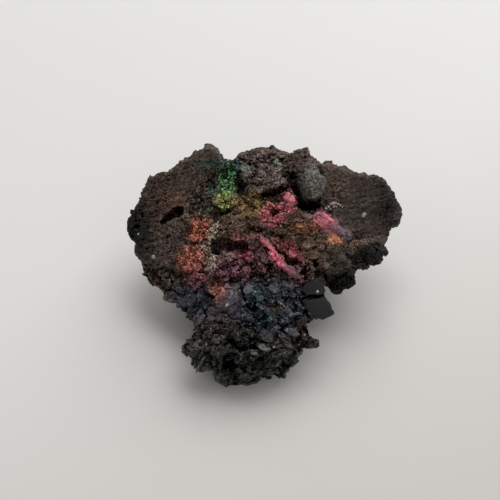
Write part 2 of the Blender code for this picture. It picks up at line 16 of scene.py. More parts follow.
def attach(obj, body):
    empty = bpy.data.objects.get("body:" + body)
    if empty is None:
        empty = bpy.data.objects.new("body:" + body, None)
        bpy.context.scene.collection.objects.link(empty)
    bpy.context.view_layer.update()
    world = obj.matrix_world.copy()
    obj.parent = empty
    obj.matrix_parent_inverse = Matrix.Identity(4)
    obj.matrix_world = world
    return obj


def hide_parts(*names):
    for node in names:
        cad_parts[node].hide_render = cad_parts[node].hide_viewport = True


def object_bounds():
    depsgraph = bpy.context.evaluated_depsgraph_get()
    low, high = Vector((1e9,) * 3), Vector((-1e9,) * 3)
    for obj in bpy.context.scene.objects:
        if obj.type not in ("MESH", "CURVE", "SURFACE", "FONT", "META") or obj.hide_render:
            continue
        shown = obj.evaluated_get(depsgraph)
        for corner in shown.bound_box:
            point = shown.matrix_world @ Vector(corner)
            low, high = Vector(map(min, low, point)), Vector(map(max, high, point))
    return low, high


bl_info = {
    "name": "Goethite Specimen",
    "version": (1, 0, 0),
    "blender": (4, 5, 0),
    "location": "3D View > Sidebar > Goethite",
    "description": "Builds an iridescent goethite specimen with its crust, tablets and pale grains",
    "category": "Object",
}

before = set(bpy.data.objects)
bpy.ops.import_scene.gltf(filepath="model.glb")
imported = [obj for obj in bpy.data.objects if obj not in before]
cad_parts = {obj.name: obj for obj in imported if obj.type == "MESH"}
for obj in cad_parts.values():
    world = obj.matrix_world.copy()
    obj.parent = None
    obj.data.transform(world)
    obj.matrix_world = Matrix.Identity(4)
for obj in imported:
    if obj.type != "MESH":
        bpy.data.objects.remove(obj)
CAD_BOX = [list(corner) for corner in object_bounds()]
NODE = "goethite_specimen"
BODY = "root"

MM = 0.001
FACE_LEAN_DEG = 40.0  # how far the display face leans back from the table
FACE_ORIGIN = Vector((-0.14, 0.277, 30.0)) * MM
FACE_LEAN = Matrix.Rotation(math.radians(FACE_LEAN_DEG), 4, "X")
FACE = Matrix.Translation(FACE_ORIGIN) @ FACE_LEAN @ Matrix.Scale(MM, 4)
FACE_TURN = np.array(FACE_LEAN.to_3x3())
RAY_START = 45.0  # height w from which lines are sent into the face
FOOT_HEIGHT = 0.12  # what lies lower than this stays flat on the table, in millimetres


def tint(red, green, blue):
    """A colour given in screen values from 0 to 255, as the linear values that shaders take."""
    parts = [channel / 255.0 for channel in (red, green, blue)]
    return tuple(c / 12.92 if c <= 0.04045 else ((c + 0.055) / 1.055) ** 2.4 for c in parts)


# ---------------------------------------------------------------------------------------------- settings


def length(name, description, default_mm):
    return bpy.props.FloatProperty(
        name=name, description=description, default=default_mm * MM, precision=5, subtype="DISTANCE",
        unit="LENGTH",
    )


def amount(name, description, default):
    return bpy.props.FloatProperty(name=name, description=description, default=default, min=0.0)


def whole_number(name, description, default):
    return bpy.props.IntProperty(name=name, description=description, default=default, min=0)


def colour(name, description, default):
    return bpy.props.FloatVectorProperty(
        name=name, description=description, default=default, subtype="COLOR", size=3, min=0.0, max=1.0
    )


class GOETHITE_PG_form(bpy.types.PropertyGroup):
    """Sizes of the rock's skin and of what grows on it."""

    grid: length("Skin grid", "Grid of the fine skin before it is thinned", 0.3)
    faces: whole_number("Skin faces", "Triangles the skin is thinned to", 192000)
    keep_front: amount("Front share", "How much the thinning spares the display face", 0.005)
    fibre: length("Fibre relief", "Height of the fibrous relief of the wings", 0.30)
    crust: length("Crust relief", "Height of the kidney-like relief of the hollow", 0.65)
    blocks: length("Block relief", "Height of the steps between broken blocks", 1.0)
    grain: length("Grain size", "Mean radius of the round crystals of the hollow", 0.33)
    grains: whole_number("Grains per bank", "Round crystals on each bank of the hollow", 1900)


class GOETHITE_PG_colours(bpy.types.PropertyGroup):
    """Colours of the goethite and of its iridescent film."""

    wing: colour("Wing brown", "Fibrous brown goethite of the wings", tint(68, 52, 43))
    wing_light: colour("Wing grey-brown", "Paler goethite on the wings' inner halves", tint(90, 76, 67))
    rock: colour("Rock", "Broken goethite of the sides and back", tint(44, 37, 32))
    knob: colour("Knob", "Black-grey goethite of the knob", tint(60, 60, 58))
    blue_black: colour("Blue-black", "Plates below the hollow", tint(74, 77, 85))
    gold: colour("Gold", "Olive-gold bank of the hollow", tint(140, 116, 72))
    olive: colour("Olive", "Olive-brown shelves", tint(95, 74, 60))
    mauve: colour("Mauve", "Mauve-brown crown", tint(100, 86, 81))
    green: colour("Green", "Green ridge", tint(84, 130, 86))
    teal: colour("Teal", "Teal edge of the green ridge", tint(52, 94, 86))
    lime: colour("Yellow-green", "Foot of the green ridge", tint(158, 162, 92))
    pink: colour("Pink", "Pink ridge and patch", tint(212, 112, 132))
    magenta: colour("Magenta", "Magenta fins and bank", tint(192, 102, 116))
    purple: colour("Purple", "Purple-red slope", tint(124, 80, 92))
    red: colour("Coral red", "Red bank at the left", tint(200, 118, 98))
    orange: colour("Orange", "Orange spots", tint(218, 142, 106))
    lilac: colour("Lilac", "Lilac-grey boss", tint(88, 77, 86))
    cream: colour("Cream", "Cream crystals", tint(192, 174, 154))
    ash: colour("Ash", "Grey rounded lump", tint(92, 91, 85))
    rust: colour("Rust", "Rusty stains", tint(116, 72, 48))
    # Painted shade: a near-black brown laid on undersides, caves, gaps and the wings' dark rims, where shade
    # falls
    painted_shade_umber: colour("Umber", "Dark undersides and broken rims", tint(20, 17, 14))


class GOETHITE_PG_stage(bpy.types.PropertyGroup):
    """The floor, the lights and the camera."""

    floor: colour("Floor", "Colour of the floor", (0.79, 0.785, 0.765))
    # Painted shade: the floor darkens towards this colour in front and to the right, where the light falls
    # off
    floor_front: colour("Floor in front", "Colour of the floor in front of the rock", (0.635, 0.62, 0.58))
    floor_size: length("Floor size", "Side of the square floor", 12000.0)
    key: amount("Key light", "Power of the light behind, in watts", 10.1)
    fill: amount("Fill light", "Power of the light in front, in watts", 0.5)
    sky: amount("Ambience", "Strength of the light all round", 0.36)
    lens: amount("Camera lens", "Focal length of the camera, in millimetres", 76.0)
    distance: length("Camera distance", "From the camera to what it looks at", 340.0)
    elevation: bpy.props.FloatProperty(
        name="Camera elevation",
        description="Angle of the camera above the table",
        default=math.radians(50.0),
        subtype="ANGLE",
        unit="ROTATION",
    )


def form():
    return bpy.context.scene.goethite_form


def colours():
    return bpy.context.scene.goethite_colours


def stage():
    return bpy.context.scene.goethite_stage


# ---------------------------------------------------------------------------------------------- modelling


def deselect():
    for obj in list(bpy.context.selected_objects):
        obj.select_set(False)
    bpy.context.view_layer.objects.active = None


def pick(obj):
    deselect()
    obj.select_set(True)
    bpy.context.view_layer.objects.active = obj


def apply_modifier(obj, name, kind, **settings):
    pick(obj)
    modifier = obj.modifiers.new(name, kind)
    for key, value in settings.items():
        setattr(modifier, key, value)
    bpy.ops.object.modifier_apply(modifier=modifier.name)


def settle(obj):
    """Puts the object's place into its mesh."""
    pick(obj)
    bpy.ops.object.transform_apply(location=True, rotation=True, scale=True)


def edit_mesh(obj, operation, **settings):
    """Runs one of Blender's mesh operations on the whole of an object."""
    pick(obj)
    bpy.ops.object.mode_set(mode="EDIT")
    bpy.ops.mesh.select_all(action="SELECT")
    operation(**settings)
    bpy.ops.object.mode_set(mode="OBJECT")


def add_mesh(name, points, faces):
    mesh = bpy.data.meshes.new(name)
    mesh.from_pydata(points, [], faces)
    obj = bpy.data.objects.new(name, mesh)
    bpy.context.scene.collection.objects.link(obj)
    return obj


def add_ball(subdivisions, **placing):
    deselect()
    bpy.ops.mesh.primitive_ico_sphere_add(subdivisions=subdivisions, radius=1.0, **placing)
    return bpy.context.active_object


def add_lump(centre, radii, turn_deg):
    """A rounded lump in face coordinates."""
    turn = FACE_LEAN @ Matrix.Rotation(math.radians(turn_deg), 4, "Z")
    lump = add_ball(
        3, location=FACE @ Vector(centre), rotation=turn.to_euler(), scale=[radius * MM for radius in radii]
    )
    settle(lump)
    return lump


def join(name, parts):
    deselect()
    for part in parts:
        part.select_set(True)
    bpy.context.view_layer.objects.active = parts[0]
    if len(parts) > 1:
        bpy.ops.object.join()
    whole = bpy.context.active_object
    whole.name = name
    whole.data.name = name
    return whole


def positions(mesh):
    flat = np.empty(len(mesh.vertices) * 3, np.float32)
    mesh.vertices.foreach_get("co", flat)
    return flat.reshape(-1, 3).astype(float)


def normals(mesh):
    flat = np.empty(len(mesh.vertices) * 3, np.float32)
    mesh.vertex_normals.foreach_get("vector", flat)
    return flat.reshape(-1, 3).astype(float)


def store(mesh, name, values):
    """Keeps a number for every vertex, for the material to read."""
    attribute = mesh.attributes.new(name, "FLOAT", "POINT")
    attribute.data.foreach_set("value", values.astype(np.float32))


def ray_tree(mesh):
    return BVHTree.FromPolygons([v.co for v in mesh.vertices], [tuple(p.vertices) for p in mesh.polygons])


def to_face(points):
    """Positions in metres as u, v, w in millimetres."""
    return (points - np.array(FACE_ORIGIN)) @ FACE_TURN / MM


def within_box(points):
    """The points, pulled inside the solid's box."""
    low, high = (np.array(corner) for corner in CAD_BOX)
    return np.clip(points, low, high)


def smooth_step(low, high, values):
    share = np.clip((values - low) / (high - low), 0.0, 1.0)
    return share * share * (3.0 - 2.0 * share)


def near(spots, centre, radii, turn_deg=0.0, edge=0.3):
    """1 inside an ellipsoid of the face frame, 0 outside it, soft over its edge."""
    turn = math.radians(turn_deg)
    across = spots[:, 0] - centre[0]
    along = spots[:, 1] - centre[1]
    turned_u = across * math.cos(turn) + along * math.sin(turn)
    turned_v = along * math.cos(turn) - across * math.sin(turn)
    reach = np.sqrt((turned_u / radii[0]) ** 2 + (turned_v / radii[1]) ** 2
                    + ((spots[:, 2] - centre[2]) / radii[2]) ** 2)
    return 1.0 - smooth_step(1.0 - edge, 1.0 + edge, reach)


def near_any(spots, places):
    """1 inside any of the places, 0 outside them all."""
    return np.max([near(spots, *place) for place in places], axis=0)


# Smooth places in the broken parts: centre, radii, turn in degrees.
SMOOTH_SPOTS = [
    ((1.0, 1.6, 5.0), (4.2, 1.5, 4.0), -52.0),  # upper pink ridge
    ((7.2, -6.0, 4.5), (5.6, 1.6, 4.0), -38.0),  # lower pink ridge
    ((7.8, 16.0, 4.5), (3.9, 1.9, 4.0), -52.0),  # magenta fin
    ((22.6, 3.9, 2.0), (2.8, 1.2, 4.0), -4.0),  # orange spot
    ((20.8, 8.2, 2.0), (7.4, 3.0, 4.0), -36.0),  # pink patch
    ((-11.2, -15.6, 4.0), (5.2, 6.0, 5.0), -12.0),  # lilac boss
    ((-15.6, -20.2, 2.0), (4.0, 2.4, 4.0), 10.0),
]

# Where next to no loose crystals or plates grow: the smooth places and three more.
BARE_SPOTS = SMOOTH_SPOTS + [
    ((16.6, -11.8, 4.0), (5.2, 3.6, 6.0), -10.0),  # upper tablet
    ((17.2, -18.4, 3.0), (5.8, 4.6, 6.0), -20.0),  # lower tablet
    ((15.0, 21.0, 0.0), (5.0, 6.4, 9.0), 0.0),  # grey lump
]

# Shelves and banks of thin overlapping plates in the hollow: centre, radii, turn in degrees.
SHELVES = [
    ((-6.0, 7.6, 4.5), (10.5, 4.6, 6.0), -3.0),
    ((13.0, 7.5, 3.0), (9.0, 6.0, 6.0), -20.0),
    ((14.5, 0.5, 2.5), (9.0, 5.0, 6.0), -12.0),
    ((2.5, 24.5, 0.0), (11.0, 4.0, 8.0), -20.0),
    ((11.0, 30.0, -4.0), (6.0, 5.0, 8.0), -30.0),
]

# Slots, caves and clefts: centre, radii, turn in degrees.
OPENINGS = [
    ((-28.9, 12.5, -7.4), (2.5, 2.0, 5.0), 30.0),
    ((-30.9, 11.2, -7.8), (2.9, 1.7, 5.0), 34.0),
    ((-32.9, 9.8, -8.2), (1.9, 1.1, 4.4), 34.0),
    ((32.4, 5.6, -5.0), (3.6, 0.4, 2.4), -12.0),
    ((-40.3, 11.6, -9.8), (0.7, 1.6, 1.8), 0.0),
    ((-42.4, 8.0, -10.6), (1.4, 0.8, 1.4), 30.0),
    ((-15.4, 11.8, 2.4), (4.8, 1.2, 6.6), 4.0),
    ((-12.0, 12.6, 2.4), (2.4, 1.0, 5.6), 24.0),
    ((-7.7, 21.4, 2.4), (0.8, 2.3, 4.6), 0.0),
    ((2.0, 17.7, 2.6), (5.6, 1.7, 7.2), 8.0),
    ((5.2, 19.2, 2.2), (3.0, 2.3, 6.8), 20.0),
    ((2.4, 11.2, 5.4), (1.3, 0.9, 2.6), 20.0),
    ((8.3, 23.4, 0.0), (3.1, 2.7, 5.2), -24.0),
    ((9.6, 20.2, 0.0), (1.6, 3.0, 5.0), 10.0),
    ((10.7, 17.4, 0.4), (1.4, 3.0, 6.2), 16.0),
    ((14.4, 14.0, 0.8), (5.0, 1.6, 6.6), -4.0),
    ((18.0, 16.2, 0.4), (1.1, 2.0, 4.6), -10.0),
    ((-10.8, 1.6, 3.6), (6.2, 1.6, 8.0), -13.0),
    ((-6.8, 0.2, 3.6), (2.2, 1.3, 6.0), 10.0),
    ((3.8, 4.6, 4.8), (2.8, 1.2, 4.0), -14.0),
    ((6.8, 3.2, 4.2), (1.2, 1.4, 3.4), 0.0),
    ((10.0, -3.8, 3.4), (2.3, 1.5, 5.0), -30.0),
    ((12.6, -7.6, 3.2), (0.9, 2.4, 4.2), 8.0),
    ((16.4, -4.0, 2.6), (1.0, 2.0, 4.6), -10.0),
    ((-3.8, -18.2, 6.8), (1.3, 1.6, 5.4), 0.0),
    ((-9.6, -9.6, 4.8), (3.6, 0.9, 4.2), 10.0),
    ((-2.6, -7.8, 5.4), (3.8, 0.7, 4.0), 8.0),
    ((4.4, -9.4, 5.4), (2.6, 0.7, 3.6), -24.0),
    ((-6.2, -14.4, 6.0), (0.9, 3.8, 4.4), 12.0),
    ((9.6, -19.0, 6.6), (0.5, 2.4, 3.0), -12.0),
    ((-17.6, -14.6, 2.0), (3.6, 0.9, 3.4), -36.0),
    ((-20.4, -10.6, 1.4), (0.8, 2.2, 3.0), 20.0),
    ((15.0, -14.4, 6.2), (3.6, 0.6, 2.0), -4.0),
    ((-11.2, -36.0, 8.0), (0.9, 4.2, 6.0), 2.0),
    ((-1.5, -34.4, 10.0), (0.9, 3.2, 6.0), 0.0),
    ((-7.0, -30.4, 10.0), (5.4, 0.6, 3.6), -4.0),
    ((6.0, -31.6, 9.4), (3.8, 0.6, 3.6), 14.0),
]


def zones(mesh):
    """How much of each kind of surface every vertex is; the kinds add up to 1."""
    spots = to_face(positions(mesh))
    facing = normals(mesh) @ FACE_TURN[:, 2]
    u, v, _ = spots.T
    to_front = smooth_step(-0.3, 0.2, facing)
    hollow = 1.0 - smooth_step(0.86, 1.08, np.hypot((u + 3.5) / 23.0, (v - 4.0) / 28.0))
    hollow *= 1.0 - smooth_step(16.0, 20.0, u) * smooth_step(2.0, -2.0, v)
    lump = near(spots, (15.0, 21.0, 0.0), (5.0, 6.4, 12.0))
    hollow *= 1.0 - lump
    foot = smooth_step(-8.0, -12.5, v + 0.12 * u)
    left_foot = near(spots, (-25.0, -16.0, -3.0), (8.0, 6.5, 12.0), 20.0)
    foot = np.maximum(foot * (1.0 - smooth_step(14.0, 18.0, u)), left_foot)
    block = np.maximum(lump, near(spots, (29.0, -5.0, -3.0), (12.0, 9.6, 14.0), 10.0))
    calm, shelf = near_any(spots, SMOOTH_SPOTS), near_any(spots, SHELVES)
    rim = smooth_step(0.35, 0.8, rim_share(spots, 2.4) + 0.35 * smooth_noise(spots, 3.0, 41, 2))
    rim *= to_front * (1.0 - hollow) * (1.0 - foot) * (1.0 - block)
    crust = to_front * hollow * (1.0 - foot) * (1.0 - calm)
    plates = to_front * foot * (1.0 - smooth_step(-23.0, -27.0, v)) * (1.0 - 0.9 * calm)
    calm = to_front * calm
    wing = np.clip(to_front * (1.0 - hollow) * (1.0 - foot) * (1.0 - block) - rim - calm, 0.0, 1.0)
    broken = np.clip(1.0 - wing - crust - plates - calm - rim, 0.0, 1.0)
    knob = broken * smooth_step(-21.0, -26.0, v) * smooth_step(-0.7, -0.1, facing)
    slab = (broken - knob) * block * to_front
    return {"wing": wing, "crust": crust * (1.0 - shelf), "shelf": crust * shelf, "plates": plates,
            "knob": knob, "slab": slab * (1.0 - lump), "lump": slab * lump, "broken": broken - knob - slab,
            "rim": rim, "calm": calm}


def scramble(cells, seed):
    """Three numbers from 0 to 1 for every cell of a grid, always the same for the same cell."""
    mixed = np.full(len(cells), seed * 7919 + 12345, np.uint64)
    for axis, prime in enumerate((73856093, 19349663, 83492791)):
        mixed ^= (cells[:, axis] + 100000).astype(np.uint64) * np.uint64(prime)
    numbers = np.empty((len(cells), 3))
    for axis in range(3):
        mixed = (mixed ^ (mixed >> np.uint64(13))) * np.uint64(1274126177) + np.uint64(axis * 2654435 + 97)
        mixed = (mixed ^ (mixed >> np.uint64(17))) & np.uint64(0xFFFFFFFFFFFF)
        numbers[:, axis] = (mixed & np.uint64(0xFFFFF)).astype(float) / 0x100000
    return numbers


def smooth_noise(spots, pitch, seed, octaves=2, stretch=(1.0, 1.0, 1.0), turn_deg=0.0):
    """Soft noise from -1 to 1 whose bumps are about one pitch wide."""
    turn = math.radians(turn_deg)
    turned = spots.copy()
    turned[:, 0] = spots[:, 0] * math.cos(turn) + spots[:, 1] * math.sin(turn)
    turned[:, 1] = spots[:, 1] * math.cos(turn) - spots[:, 0] * math.sin(turn)
    turned = turned / np.array(stretch) / pitch
    total, weight = np.zeros(len(spots)), 0.0
    for octave in range(octaves):
        scaled = turned * 2.0**octave
        base = np.floor(scaled).astype(np.int64)
        share = scaled - base
        share = share * share * (3.0 - 2.0 * share)
        value = np.zeros(len(spots))
        for corner in range(8):
            offset = np.array([corner & 1, corner >> 1 & 1, corner >> 2 & 1])
            part = np.prod(np.where(offset, share, 1.0 - share), axis=1)
            value += part * scramble(base + offset, seed + 31 * octave)[:, 0]
        total += (2.0 * value - 1.0) * 0.5**octave
        weight += 0.5**octave
    return total / weight


def cell_noise(spots, pitch, seed, stretch=(1.0, 1.0, 1.0)):
    """For every spot: distance to its cell's middle and to the next one's, in pitches, the way from
    the middle to the spot in millimetres, and three random numbers of the cell."""
    scaled = spots / np.array(stretch) / pitch
    base = np.floor(scaled).astype(np.int64)
    first, second = np.full(len(spots), 9.0), np.full(len(spots), 9.0)
    away, numbers = np.zeros_like(scaled), np.zeros_like(scaled)
    for corner in range(27):
        cell = base + np.array([corner % 3, corner // 3 % 3, corner // 9]) - 1
        found = scramble(cell, seed)
        offset = scaled - cell - 0.1 - 0.8 * found
        reach = np.sqrt((offset**2).sum(axis=1))
        closer = reach < first
        second = np.where(closer, first, np.minimum(second, reach))
        first = np.where(closer, reach, first)
        away[closer], numbers[closer] = offset[closer], found[closer]
    numbers = scramble(np.round(numbers * 1e6).astype(np.int64), 5)
    return first, second, away * pitch * np.array(stretch), numbers


def chunks(spots, out, pitch, seed, tilt, step, crack, stretch=(1.0, 1.0, 1.0)):
    """Height of broken blocks: every cell a plane tipped its own way, with cracks between them."""
    first, second, away, numbers = cell_noise(spots, pitch, seed, stretch)
    lean = 2.0 * numbers - 1.0
    lean -= (lean * out).sum(axis=1)[:, None] * out
    height = tilt * (lean * away).sum(axis=1) + step * (2.0 * scramble(
        np.round(numbers * 1e6).astype(np.int64), 9)[:, 0] - 1.0)
    edge = second - first
    return height - crack * (1.0 - smooth_step(0.0, 0.22, edge)), edge, numbers[:, 0]


def ledges(spots, pitch, group, seed, spread_deg=110.0, sway=0.5):
    """Plates that overlap like shells, groups of them at one turn: their height from 0 to 1, 0 in the
    gap under an edge to 1 outside it, and a random number for each plate."""
    first, second, _, numbers = cell_noise(spots, group, seed)
    turn = math.radians(spread_deg) * (numbers[:, 0] - 0.5)
    along = spots[:, 1] * np.cos(turn) + spots[:, 0] * np.sin(turn) + 0.4 * spots[:, 2]
    run = along / pitch + 3.0 * numbers[:, 1] + sway * smooth_noise(spots, 2.0 * pitch, seed + 3, 2)
    share = run - np.floor(run)
    gap = np.minimum(smooth_step(1.0, 0.82, share), smooth_step(0.0, 0.1, second - first))
    plate = np.stack([np.floor(run), np.round(numbers[:, 2] * 1e5), np.full(len(run), seed)], axis=1)
    return 1.0 - share**1.7, gap, scramble(plate.astype(np.int64), seed)[:, 0]


def leaves(spots, pitch, count, seed):
    """Curved plates that overlap like leaves: their height from 0 to 1, and 0 in the gap under an edge
    to 1 outside it."""
    run = count * smooth_noise(spots, pitch, seed, 2)
    share = run - np.floor(run)
    return 1.0 - share**1.5, smooth_step(1.0, 0.84, share)


def bubbles(spots, pitch, seed, height):
    """Height of round bubbles that press against each other."""
    first, second, _, numbers = cell_noise(spots, pitch, seed)
    dome = np.sqrt(np.clip(1.0 - (first / 0.8) ** 2, 0.0, 1.0)) - 0.75
    step = 1.2 * (numbers[:, 1] - 0.5)
    crease = 1.0 - smooth_step(0.0, 0.25, second - first)
    return height * (dome + step - 0.5 * crease), second - first, numbers[:, 0]


RIM_CELL = 0.5  # grid on which the outline is told, in millimetres
RIM_FIELD = 60.0  # half the side of that grid


def rim_share(spots, width):
    """1 at the outline of the rock as seen along w, 0 further in than the width."""
    columns = np.floor((spots[:, :2] + RIM_FIELD) / RIM_CELL).astype(int)
    cells = int(2.0 * RIM_FIELD / RIM_CELL)
    inside = np.zeros((cells, cells), bool)
    inside[columns[:, 0], columns[:, 1]] = True
    depth = inside.astype(float)
    rounds = int(width / RIM_CELL)
    for _ in range(rounds):
        sides = [np.roll(inside, shift, axis) for axis in (0, 1) for shift in (1, -1)]
        inside = np.logical_and.reduce([inside, *sides])
        depth += inside
    depth /= 1 + rounds
    return 1.0 - depth[columns[:, 0], columns[:, 1]]


def rounded(values, neighbours, rounds):
    """Values averaged with their neighbours along the edges, a number of times."""
    first, second, counts = neighbours
    for _ in range(rounds):
        total = np.empty_like(values)
        for axis in range(values.shape[1]):
            total[:, axis] = np.bincount(first, values[second, axis], len(values))
            total[:, axis] += np.bincount(second, values[first, axis], len(values))
        values = 0.5 * values + 0.5 * total / counts[:, None]
    return values


def mark_hollows(obj):
    """Stores how deep each vertex lies below the surface around it, close by and further round, in mm. The
    material paints shade into the deep places and light onto the tops from these.
    """
    mesh = obj.data
    points, out = positions(mesh), normals(mesh)
    edges = np.empty(len(mesh.edges) * 2, np.int32)
    mesh.edges.foreach_get("vertices", edges)
    first, second = edges.reshape(-1, 2).T
    counts = np.bincount(first, minlength=len(points)) + np.bincount(second, minlength=len(points))
    counts = np.maximum(1, counts)
    neighbours = (first, second, counts)
    spans = np.linalg.norm(points[first] - points[second], axis=1)
    span = (np.bincount(first, spans, len(points)) + np.bincount(second, spans, len(points))) / counts / MM
    fine = np.minimum(1.0, 0.4 / np.maximum(span, 0.1)) ** 1.5
    level = points
    for name, rounds in (("hollow_near", 4), ("hollow_wide", 40)):
        level = rounded(level, neighbours, rounds)
        store(mesh, name, fine * ((level - points) * out).sum(axis=1) / MM)


def smooth_faces(obj, angle_deg=35.0):
    pick(obj)
    bpy.ops.object.shade_smooth_by_angle(angle=math.radians(angle_deg))


def dress(piece, material):
    piece.data.materials.clear()
    piece.data.materials.append(material)
    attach(piece, BODY)


# ---------------------------------------------------------------------------------------------- materials


class Nodes:
    """Adds nodes to a tree and links them, value by value."""

    def __init__(self, tree):
        self.tree = tree
        self.column = 0

    def add(self, kind, **settings):
        node = self.tree.nodes.new(kind)
        self.column += 1
        node.location = (180 * (self.column % 12), -220 * (self.column // 12))
        for key, value in settings.items():
            setattr(node, key, value)
        return node

    def put(self, socket, value):
        if isinstance(value, bpy.types.NodeSocket):
            self.tree.links.new(value, socket)
        elif isinstance(value, (tuple, Vector, Color)) and socket.type == "RGBA":
            socket.default_value = (*value, 1.0)
        elif value is not None:
            socket.default_value = value

    def math(self, operation, first, second=None, clamp=False):
        node = self.add("ShaderNodeMath", operation=operation, use_clamp=clamp)
        for socket, value in zip(node.inputs, (first, second)):
            self.put(socket, value)
        return node.outputs[0]

    def vector(self, operation, first, second=None, scale=None):
        node = self.add("ShaderNodeVectorMath", operation=operation)
        self.put(node.inputs[0], first)
        self.put(node.inputs[1], second)
        if scale is not None:
            self.put(node.inputs["Scale"], scale)
        return node.outputs["Value" if operation in {"LENGTH", "DOT_PRODUCT", "DISTANCE"} else "Vector"]

    def step(self, value, low, high, to_low=0.0, to_high=1.0, smooth=True):
        node = self.add("ShaderNodeMapRange", interpolation_type="SMOOTHSTEP" if smooth else "LINEAR")
        for socket, number in zip(node.inputs, (value, low, high, to_low, to_high)):
            self.put(socket, number)
        return node.outputs[0]

    def noise(self, vector, scale, detail=2.0, roughness=0.5, output="Fac"):
        node = self.add("ShaderNodeTexNoise")
        given = {"Vector": vector, "Scale": scale, "Detail": detail, "Roughness": roughness}
        for label, value in given.items():
            self.put(node.inputs[label], value)
        return node.outputs[output]

    def wander(self, vector, scale):
        """Noise that points every way, from -0.5 to 0.5."""
        return self.vector("SUBTRACT", self.noise(vector, scale, output="Color"), (0.5, 0.5, 0.5))

    def voronoi(self, vector, scale, output):
        node = self.add("ShaderNodeTexVoronoi", feature="F1")
        self.put(node.inputs["Vector"], vector)
        node.inputs["Scale"].default_value = scale
        return node.outputs[output]

    def times(self, value, *others):
        for other in others:
            value = self.math("MULTIPLY", value, other)
        return value

    def moved(self, place, *pushes):
        """A place moved by vectors, each times its own share."""
        for push, share in pushes:
            place = self.vector("ADD", place, self.vector("SCALE", push, scale=share))
        return place

    def attribute(self, name):
        return self.add("ShaderNodeAttribute", attribute_name=name).outputs["Fac"]

    def soft_edge(self, reach, edge):
        """1 where the reach is under 1 and 0 where it is over, soft over the edge."""
        low, high = self.math("SUBTRACT", 1.0, edge), self.math("ADD", 1.0, edge)
        return self.step(reach, low, high, 1.0, 0.0)

    def bump(self, height, strength, distance_mm):
        node = self.add("ShaderNodeBump")
        node.inputs["Strength"].default_value = strength
        node.inputs["Distance"].default_value = distance_mm * MM
        self.put(node.inputs["Height"], height)
        return node.outputs[0]

    def mix(self, share, first, second, blend="MIX"):
        node = self.add("ShaderNodeMix", data_type="RGBA", blend_type=blend)
        self.put(node.inputs[0], share)
        self.put(node.inputs[6], first)
        self.put(node.inputs[7], second)
        return node.outputs[2]

    def group(self, tree, **values):
        node = self.add("ShaderNodeGroup", node_tree=tree)
        for key, value in values.items():
            self.put(node.inputs[key.replace("_", " ").capitalize()], value)
        return node.outputs


def new_group(name, inputs, outputs):
    """An empty node group with named inputs (name, kind, default) and outputs (name, kind)."""
    tree = bpy.data.node_groups.new(name, "ShaderNodeTree")
    for label, kind, default in inputs:
        socket = tree.interface.new_socket(label, in_out="INPUT", socket_type="NodeSocket" + kind)
        if default is not None:
            socket.default_value = default
    for label, kind in outputs:
        tree.interface.new_socket(label, in_out="OUTPUT", socket_type="NodeSocket" + kind)
    nodes = Nodes(tree)
    return tree, nodes, nodes.add("NodeGroupInput").outputs, nodes.add("NodeGroupOutput").inputs


def bloom_group():
    """A soft ellipse of film on the face: 1 within, 0 beyond."""
    tree, n, given, out = new_group(
        "Film Bloom",
        [("Place", "Vector", None), ("Centre", "Vector", None), ("Size", "Vector", (1.0, 1.0, 1.0)),
         ("Turn", "Float", 0.0), ("Edge", "Float", 0.35)],
        [("Mask", "Float")],
    )
    away = n.vector("SUBTRACT", given["Place"], given["Centre"])
    turned = n.add("ShaderNodeVectorRotate", rotation_type="Z_AXIS", invert=True)
    n.put(turned.inputs["Vector"], away)
    n.put(turned.inputs["Angle"], given["Turn"])
    reach = n.vector("LENGTH", n.vector("DIVIDE", turned.outputs[0], given["Size"]))
    n.put(out["Mask"], n.soft_edge(reach, given["Edge"]))
    return tree


def streak_group():
    """A soft straight band of film between two points: 1 along it, 0 beyond its half width."""
    tree, n, given, out = new_group(
        "Film Streak",
        [("Place", "Vector", None), ("Start", "Vector", None), ("End", "Vector", None),
         ("Width", "Float", 1.5), ("Edge", "Float", 0.35)],
        [("Mask", "Float")],
    )
    run = n.vector("SUBTRACT", given["End"], given["Start"])
    away = n.vector("SUBTRACT", given["Place"], given["Start"])
    along, whole = n.vector("DOT_PRODUCT", away, run), n.vector("DOT_PRODUCT", run, run)
    share = n.math("DIVIDE", along, whole, clamp=True)
    off = n.vector("SUBTRACT", away, n.vector("SCALE", run, scale=share))
    reach = n.math("DIVIDE", n.vector("LENGTH", off), given["Width"])
    n.put(out["Mask"], n.soft_edge(reach, given["Edge"]))
    return tree


# A bloom lies at BLOOM_W over the middle of the face and sinks by BLOOM_SINK for every millimetre of u beyond
# BLOOM_LEVEL_TO. It reaches BLOOM_DEPTH up and down. Heights count for DEPTH_SHARE of what they are.
BLOOM_W, BLOOM_SINK, BLOOM_LEVEL_TO, BLOOM_DEPTH = 0.7, 0.09, 12.0, 5.4
DEPTH_SHARE = 0.35


def bloom_mask(n, bloom, place, centre, size, turn_deg, edge):
    middle = (*centre, BLOOM_W - BLOOM_SINK * max(0.0, abs(centre[0]) - BLOOM_LEVEL_TO))
    return n.group(
        bloom, place=place, centre=middle, size=(*size, BLOOM_DEPTH), turn=math.radians(turn_deg), edge=edge
    )["Mask"]


def face_place(nodes):
    """The shading point in face coordinates, in millimetres."""
    spot = nodes.add("ShaderNodeTexCoord").outputs["Object"]
    mapping = nodes.add("ShaderNodeMapping", vector_type="TEXTURE")
    nodes.put(mapping.inputs["Vector"], spot)
    mapping.inputs["Location"].default_value = FACE_ORIGIN
    mapping.inputs["Rotation"].default_value = (math.radians(FACE_LEAN_DEG), 0.0, 0.0)
    mapping.inputs["Scale"].default_value = (MM, MM, MM)
    return mapping.outputs[0]


